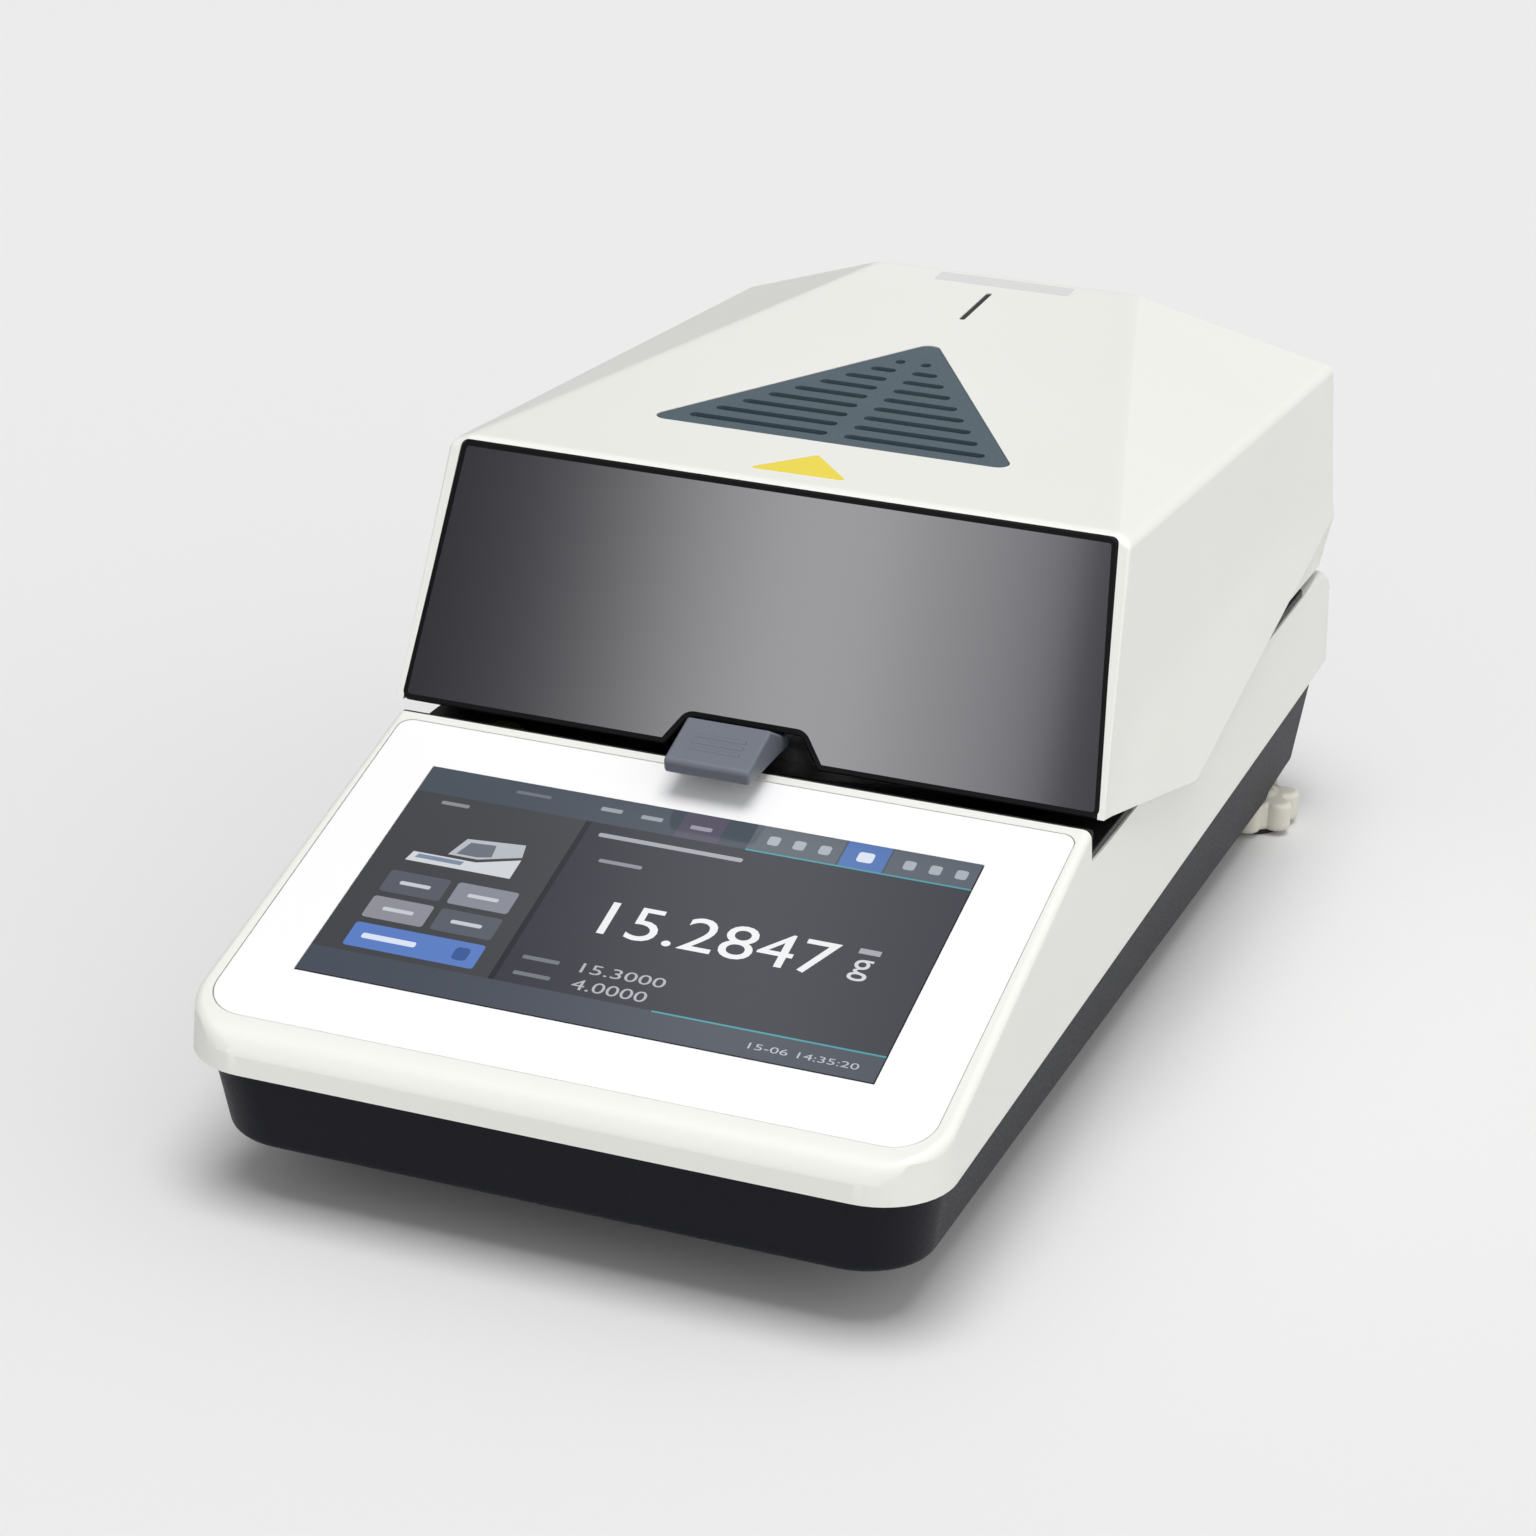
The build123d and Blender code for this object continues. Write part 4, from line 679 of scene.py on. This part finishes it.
# every CAD node that stays as it is gets its real finish
dressed = {
    touchGlass: ["display_screen"],
    blackNylon: ["rear_panel", "power_inlet", "switch_housing", "power_rocker", "power_supply"],
    brushedSteel: ["display_bracket", "casing_screws", "heat_shield", "draft_shield",
                   "pan_handler", "pan_support", "load_stem", "usb_port", "serial_port",
                   "lid_plate", "glass_retainer", "temperature_sensor", "lid_motor", "lid_damper",
                   "hinge_shaft_right", "hinge_shaft_left", "hinge_arm_right", "hinge_arm_left"],
    milledAluminium: ["weighing_cell", "cell_plate", "hinge_ear_right", "hinge_ear_left"],
    pressedFoil: ["sample_pan"], turnedBrass: ["foot_insert_right", "foot_insert_left"],
    mattRubber: ["front_feet", "foot_pad_right", "foot_pad_left"],
    levelFluid: ["level_vial"], boardEpoxy: ["main_board"], brightReflector: ["reflector"],
    quartzTube: ["halogen_lamp"], firedCeramic: ["lamp_holders"],
    borosilicateGlass: ["guard_glass"],
}
for material, names in dressed.items():
    for name in names:
        mesh = nodes[name].data
        if not mesh.materials:
            mesh.materials.append(material)
        for place in nodes[name].material_slots:
            place.material = material


def sharpEdges(edge):
    return edge.is_convex and edge.calc_face_angle(0) > math.radians(50)


def trayEdges(edge):
    return sharpEdges(edge) and outwardOf(edge)[0].z > rim["trayZ"]


def outerTopEdges(edge):
    # the front glass: only the outline and the opening on its upper face
    normals = [f.normal.dot(Vector((0, -math.sin(panelTilt), math.cos(panelTilt))))
               for f in edge.link_faces]
    return max(normals) > 0.9 and min(normals) < 0.3 and edge.is_convex


tray = {"flangeFromMm": 93.5, "flangeOutMm": 2.6}

roundedCopy("overlayGlass", "display_overlay", "base", printedGlass, 0.35,
            outerTopEdges, 2)
chamberTray = roundedCopy("chamberTray", "chamber_tray", "base", blackNylon, 0.7,
                          trayEdges, 2)
for vertex in chamberTray.data.vertices:  # the real flange runs out to the casing's side walls
    if abs(vertex.co.x) * 1000 > tray["flangeFromMm"]:
        vertex.co.x += math.copysign(tray["flangeOutMm"] / 1000, vertex.co.x)
for side in ("right", "left"):
    roundedCopy(f"handWheel.{side}", f"levelling_wheel_{side}", f"foot_wheel_{side}", ivoryNylon,
                1.8, sharpEdges, 4)


# the lifting tab: its ribs, the depth and height of its top face's ends, and its place sideways
grip = {"ribs": 3, "pitchMm": 2.6, "lengthMm": 15.0, "ribMm": 0.8, "riseMm": 0.35,
        "front": (111.0, 98.4), "rear": (127.5, 104.4), "startMm": 6, "narrowed": 0.95,
        "shiftMm": -1.4}


def repeatTree(name, inputs):
    # an empty node tree whose named inputs are sizes in metres or counts
    tree = bpy.data.node_groups.new(name, "GeometryNodeTree")
    tree.interface.new_socket("Geometry", in_out="OUTPUT", socket_type="NodeSocketGeometry")
    for label, kind in inputs.items():
        tree.interface.new_socket(label, in_out="INPUT", socket_type=kind)
    return tree


def runTree(pieceName, tree, values, body, material, place=None):
    # a mesh made by the tree, as a plain piece that rides on its body
    thing = scratchObject(bpy.data.meshes.new(pieceName))
    live = thing.modifiers.new("make", "NODES")
    live.node_group = tree
    for item in tree.interface.items_tree:
        if item.in_out == "INPUT" and item.name in values:
            live[item.identifier] = values[item.name]
    bakeModifiers(thing)
    mesh = thing.data
    bpy.data.objects.remove(thing)
    if place is not None:
        for vertex in mesh.vertices:
            vertex.co = place(*vertex.co)
    return newPiece(pieceName, smoothed(mesh), body, material)


def buildGrip():
    # rounded ribs across the lifting tab
    tree = repeatTree("gripRibs", {"Count": "NodeSocketInt", "Pitch": "NodeSocketFloat",
                                   "Length": "NodeSocketFloat", "Radius": "NodeSocketFloat"})
    inputs = addNode(tree, "NodeGroupInput")
    line = addNode(tree, "GeometryNodeMeshLine", links={"Count": inputs.outputs["Count"]},
                   mode="OFFSET")
    step = addNode(tree, "ShaderNodeCombineXYZ", links={"Y": inputs.outputs["Pitch"]})
    tree.links.new(step.outputs[0], line.inputs["Offset"])
    bar = addNode(tree, "GeometryNodeMeshCylinder", {"Vertices": 12, "Side Segments": 1},
                  {"Radius": inputs.outputs["Radius"], "Depth": inputs.outputs["Length"]})
    lying = addNode(tree, "GeometryNodeTransform", {"Rotation": (0.0, math.pi / 2, 0.0)},
                    {"Geometry": bar.outputs["Mesh"]})
    copies = addNode(tree, "GeometryNodeInstanceOnPoints",
                     links={"Points": line.outputs["Mesh"], "Instance": lying.outputs[0]})
    real = addNode(tree, "GeometryNodeRealizeInstances", links={"Geometry": copies.outputs[0]})
    skin = addNode(tree, "GeometryNodeSetMaterial", {"Material": greyAcetal},
                   {"Geometry": real.outputs[0]})
    addNode(tree, "NodeGroupOutput", links={"Geometry": skin.outputs[0]})

    front, rear = at(0, *grip["front"]), at(0, *grip["rear"])
    along = (rear - front).normalized()
    up = Vector((1, 0, 0)).cross(along)
    start = front + along * grip["startMm"] / 1000
    sunk = (grip["ribMm"] - grip["riseMm"]) / 1000

    def place(x, y, z):
        return start + Vector((x, 0, 0)) + along * y + up * (z - sunk)

    return runTree("tabRibs", tree, {"Count": grip["ribs"], "Pitch": grip["pitchMm"] / 1000,
                                     "Length": grip["lengthMm"] / 1000,
                                     "Radius": grip["ribMm"] / 1000},
                   "lid", greyAcetal, place)


print("building the lifting tab and the small pieces")
liftTab = roundedCopy("liftTab", "lid_handle", "lid", greyAcetal, 0.9,
                      sharpEdges, 3)
tabRibs = buildGrip()
for part in (liftTab, tabRibs):  # the tab sits a little left of the middle
    for vertex in part.data.vertices:
        vertex.co.x = vertex.co.x * grip["narrowed"] + grip["shiftMm"] / 1000


def buildPatch(name, points, radius, thickMm, material):
    shape = prismShape(roundCorners(points, radius, 4), -0.05, thickMm, onRoof)
    return newPiece(name, smoothed(asMesh(shape, name)), "lid", material)


buildPatch("heatPatch", [(-12.6, 164.9), (15.0, 165.4), (1.4, 181.1)], 0.8, 0.12, yellowFilm)
buildPatch("plainLabel", [(-20, 343.5), (22.5, 343.5), (22.5, 351.5), (-20, 351.5)], 0.6, 0.1,
           paleFilm)


screen = {"width": 154.2, "height": 85.9, "offset": -1.3, "liftMm": 0.02, "layerMm": 0.012}


def onScreen(u, v, layer):
    # a point of the display from its top left corner, in mm
    return onPanel(screen["offset"] - screen["width"] / 2 + u, screen["height"] / 2 - v,
                   screen["liftMm"] + layer * screen["layerMm"])


def buildPicture():
    # the user interface as flat coloured shapes, each layer a hair above the one below
    shape = bmesh.new()
    ink = shape.loops.layers.float_color.new("ink")

    def paint(face, colour):
        for loop in face.loops:
            loop[ink] = hexColour(colour)

    def area(points, colour, layer):
        face = shape.faces.new([shape.verts.new(onScreen(u, v, layer)) for u, v in points])
        face.normal_update()
        if face.normal.z < 0:
            face.normal_flip()
        paint(face, colour)

    def box(u0, v0, u1, v1, colour, layer=1, radius=0.0):
        points = [(u0, v0), (u1, v0), (u1, v1), (u0, v1)]
        area(roundCorners(points, radius, 3) if radius else points, colour, layer)

    def words(text, u, v, size, colour, width=None, layer=3):
        # flat lettering with its lower left corner at u, v, stretched to the width if one is given
        curve = bpy.data.curves.new("words", "FONT")
        curve.body = text
        curve.size = 1.0
        curve.resolution_u = 4
        thing = scratchObject(curve)
        mesh = bpy.data.meshes.new_from_object(
            thing.evaluated_get(bpy.context.evaluated_depsgraph_get()))
        xs = [p.co.x for p in mesh.vertices]
        ys = [p.co.y for p in mesh.vertices]
        scale = size / (max(ys) - min(ys))
        spread = width / (max(xs) - min(xs)) if width else scale
        verts = [shape.verts.new(onScreen(u + (p.co.x - min(xs)) * spread,
                                          v - (p.co.y - min(ys)) * scale, layer))
                 for p in mesh.vertices]
        for polygon in mesh.polygons:
            face = shape.faces.new([verts[i] for i in polygon.vertices])
            face.normal_update()
            if face.normal.z < 0:
                face.normal_flip()
            paint(face, colour)
        bpy.data.objects.remove(thing)

    w, h = screen["width"], screen["height"]
    box(0, 0, w, h, "#3B3C44", 0)
    box(0, 0, 48.7, h, "#45474B")
    box(48.7, 10.6, 50.3, 76.1, "#2B2D33")
    box(0, 0, w, 10.6, "#4A525C", 2)
    box(73, 0, 85, 10.6, "#5A5666", 3)
    box(93, 0, 117.5, 10.6, "#5F6770", 3)
    box(118, 0, 130, 10.6, "#4F74B4", 3)
    box(130.5, 0, w, 10.6, "#59616B", 3)
    box(93, 10.2, w, 10.8, "#4B9CA6", 4)
    for u in (97.5, 104.5, 111.5, 134.5, 141.5, 148.5):
        box(u, 3.6, u + 3.2, 7.2, "#A9B0B8", 4, 0.8)
    box(122, 3.4, 126.4, 7.4, "#DCE4F0", 4, 0.9)
    box(8.5, 13.0, 16.5, 14.4, "#8A8C90", 3, 0.5)
    box(26, 3.6, 36, 4.8, "#6D757F", 3, 0.4)
    box(50.5, 4.0, 56.5, 5.6, "#98A0A8", 3, 0.4)
    box(62, 4.4, 68, 6.0, "#98A0A8", 3, 0.4)
    box(76, 4.9, 82, 6.5, "#9D99A8", 4, 0.4)
    # generic picture of a low box with a raised lid
    area([(9, 38.4), (9.8, 34.6), (27.5, 34.6), (38.6, 30.6), (38.6, 38.4)], "#D3D6DA", 3)
    area([(19, 33.4), (21.5, 26.2), (37.4, 24.6), (38.4, 29.6), (27.4, 33.4)], "#B9BEC5", 3)
    area([(21, 32.6), (23, 27.4), (30, 26.8), (30.6, 31.6), (27, 32.6)], "#6E757F", 4)
    area([(11, 36.8), (11.6, 35.2), (24.4, 35.2), (24, 36.8)], "#7F8EA6", 4)
    for u0, u1, v0, v1, colour in ((7.5, 24.5, 43.1, 51.8, "#5B5E68"),
                                   (26.6, 43.6, 43.1, 51.8, "#8B8D98"),
                                   (7.5, 24.5, 53.9, 62.5, "#8F9099"),
                                   (26.6, 43.6, 53.9, 62.5, "#5B606A")):
        box(u0, v0, u1, v1, colour, 2, 0.9)
        box(u0 + 4.2, (v0 + v1) / 2 - 0.7, u1 - 4.2, (v0 + v1) / 2 + 0.7, "#C9CCD2", 3, 0.5)
    box(7.5, 64.7, 43.6, 74.0, "#5D7FC4", 2, 0.9)
    box(11, 68.4, 26, 70.4, "#DDE6F6", 3, 0.6)
    box(36.5, 66.9, 40.6, 71.8, "#3F5C99", 3, 1.2)
    box(54, 14.3, 94, 15.9, "#A6A9B0", 2, 0.5)
    box(58, 24.3, 70, 25.7, "#8E9199", 2, 0.5)
    words("15.2847", 68.3, 52.4, 12.9, "#EDEEF0", 61.9)
    words("g", 134.8, 51.8, 8.2, "#D6D8DC")
    box(134.8, 39.5, 140.5, 41.5, "#A6A9B0", 2)
    words("15.3000", 70, 67.6, 3.6, "#B4B7BD", 22.6)
    words("4.0000", 70, 74.0, 3.9, "#B4B7BD", 20.0)
    box(54, 65.1, 64, 66.5, "#777B84", 2, 0.4)
    box(54, 71.3, 64, 72.7, "#777B84", 2, 0.4)
    box(0, 76.1, w, h, "#4B515C", 2)
    box(93, 76.0, w, 76.6, "#4B9CA6", 3)
    words("15-06 14:35:20", 120.5, 82.6, 2.2, "#B9BEC6", 28.5)
    return newPiece("screenPicture", asMesh(shape, "screenPicture"), "base", displayLight)


print("drawing the display")
buildPicture()


# the stage: a pale sheet, a sky that is brightest low on the right, a broad key almost overhead,
# and the wall that the glossy faces mirror, as (direction's X, colour): dark on the left, a bright
# softbox ahead, dimmer beyond it
stage = {"paper": "#EAEAEA", "fibre": "#E8E8E8", "bounce": "#C6C6C6", "room": "#EAEAEA",
         "floorHalf": 9, "fibreScale": 400.0,
         "skyAcross": (0.86, -0.5, 0.0), "skyDim": 0.22, "skyBright": 1.5, "zenithShare": 0.3,
         "wall": ((-1.0, "#77777B"), (-0.45, "#303034"), (-0.397, "#424247"), (-0.377, "#626267"),
                  (-0.363, "#88888C"), (-0.35, "#B2B2B6"), (-0.335, "#DCDCDF"),
                  (-0.315, "#FCFCFF"), (-0.296, "#FAFAFD"), (-0.28, "#E0E0E4"),
                  (-0.262, "#CACACF"), (-0.25, "#AEAEB4"), (-0.243, "#6A6A70"),
                  (-0.238, "#202024"), (-0.231, "#6C6C72"), (0.0, "#C4C4C8"), (1.0, "#F2F2F2")),
         "keyLevel": 1.9, "keyAngle": 35, "keyAim": (0.1, -0.22, 0.97)}


def buildStage():
    mesh = bpy.data.meshes.new("studioFloor")
    reach = stage["floorHalf"]
    mesh.from_pydata([(-reach, -reach, 0), (reach, -reach, 0), (reach, reach, 0),
                      (-reach, reach, 0)], [], [(0, 1, 2, 3)])
    floor = scratchObject(mesh)
    floor.name = "studioFloor"
    paper, tree, shader, place = startMaterial("backgroundPaper", **{"Roughness": 0.9})
    fibre = addNode(tree, "ShaderNodeTexNoise", {"Scale": stage["fibreScale"]}, {"Vector": place})
    shade = addNode(tree, "ShaderNodeMix", {6: hexColour(stage["paper"]),
                                            7: hexColour(stage["fibre"])},
                    {0: fibre.outputs["Fac"]}, data_type="RGBA")
    # the sheet looks pale, and gives back a little less light than that to the object
    ray = addNode(tree, "ShaderNodeLightPath")
    given = addNode(tree, "ShaderNodeMix", {7: hexColour(stage["bounce"])},
                    {0: ray.outputs["Is Diffuse Ray"], 6: shade.outputs[2]}, data_type="RGBA")
    tree.links.new(given.outputs[2], shader.inputs["Base Color"])
    mesh.materials.append(paper)
    world = bpy.data.worlds.new("studioSky")
    bpy.context.scene.world = world
    world.use_nodes = True
    sky = world.node_tree
    sky.nodes.clear()
    direction = addNode(sky, "ShaderNodeTexCoord")
    parts = addNode(sky, "ShaderNodeSeparateXYZ", links={0: direction.outputs["Generated"]})
    share = addNode(sky, "ShaderNodeMapRange", {1: -1.0, 2: 1.0, 3: 0.0, 4: 1.0},
                    {0: parts.outputs["X"]})
    across = addNode(sky, "ShaderNodeVectorMath", {1: stage["skyAcross"]},
                     {0: direction.outputs["Generated"]}, operation="DOT_PRODUCT")
    side = addNode(sky, "ShaderNodeMapRange", {1: -1.0, 2: 1.0, 3: stage["skyDim"],
                                               4: stage["skyBright"]}, {0: across.outputs["Value"]})
    rise = addNode(sky, "ShaderNodeMapRange", {1: 0.0, 2: 1.0, 3: 1.0, 4: stage["zenithShare"]},
                   {0: parts.outputs["Z"]})
    level = addNode(sky, "ShaderNodeMath", links={0: side.outputs[0], 1: rise.outputs[0]},
                    operation="MULTIPLY")
    wall = addNode(sky, "ShaderNodeValToRGB", links={0: share.outputs[0]})
    stops = wall.color_ramp.elements
    while len(stops) < len(stage["wall"]):
        stops.new(0.5)
    for stop, (x, colour) in zip(stops, stage["wall"]):
        stop.position = (x + 1) / 2
        stop.color = hexColour(colour)
    path = addNode(sky, "ShaderNodeLightPath")
    light = addNode(sky, "ShaderNodeBackground", {"Color": hexColour("#FFFFFF")},
                    {"Strength": level.outputs[0]})
    mirrored = addNode(sky, "ShaderNodeBackground", {"Strength": 1.0}, {"Color": wall.outputs[0]})
    room = addNode(sky, "ShaderNodeBackground", {"Color": hexColour(stage["room"]),
                                                 "Strength": 1.0})
    glossy = addNode(sky, "ShaderNodeMixShader", links={
        0: path.outputs["Is Glossy Ray"], 1: light.outputs[0], 2: mirrored.outputs[0]})
    plain = addNode(sky, "ShaderNodeMath", links={0: path.outputs["Is Camera Ray"],
                                                  1: path.outputs["Is Transmission Ray"]},
                    operation="MAXIMUM")
    seen = addNode(sky, "ShaderNodeMixShader", links={
        0: plain.outputs[0], 1: glossy.outputs[0], 2: room.outputs[0]})
    addNode(sky, "ShaderNodeOutputWorld", links={"Surface": seen.outputs[0]})
    key = bpy.data.lights.new("keySun", "SUN")
    key.energy = stage["keyLevel"]
    key.angle = math.radians(stage["keyAngle"])
    lamp = bpy.data.objects.new("keySun", key)
    bpy.context.scene.collection.objects.link(lamp)
    lamp.rotation_mode = "QUATERNION"
    lamp.rotation_quaternion = Vector(stage["keyAim"]).to_track_quat("Z", "Y")


# the photograph's own viewpoint, in degrees, metres and millimetres of focal length
view = {"azimuth": 19.61, "elevation": 21.52, "roll": 2.48, "place": (0.3411, -1.0063, 0.4830),
        "lens": 94.41, "sensor": 36.0}


def buildCamera():
    azimuth, elevation, roll = (math.radians(view[k]) for k in ("azimuth", "elevation", "roll"))
    back = Vector((math.sin(azimuth) * math.cos(elevation),
                   -math.cos(azimuth) * math.cos(elevation), math.sin(elevation)))
    right = (-back).cross(Vector((0, 0, 1))).normalized()
    up = right.cross(-back)
    turnedRight = right * math.cos(roll) + up * math.sin(roll)
    turnedUp = up * math.cos(roll) - right * math.sin(roll)
    lens = bpy.data.cameras.new("studioCamera")
    lens.lens = view["lens"]
    lens.sensor_width = view["sensor"]
    lens.clip_start, lens.clip_end = 0.05, 30
    camera = bpy.data.objects.new("studioCamera", lens)
    bpy.context.scene.collection.objects.link(camera)
    basis = Matrix((turnedRight, turnedUp, back)).transposed()
    camera.matrix_world = Matrix.Translation(view["place"]) @ basis.to_4x4()
    bpy.context.scene.camera = camera


print("setting the stage")
buildStage()
buildCamera()
bpy.context.scene.view_settings.view_transform = "Standard"

print("pieces ready")
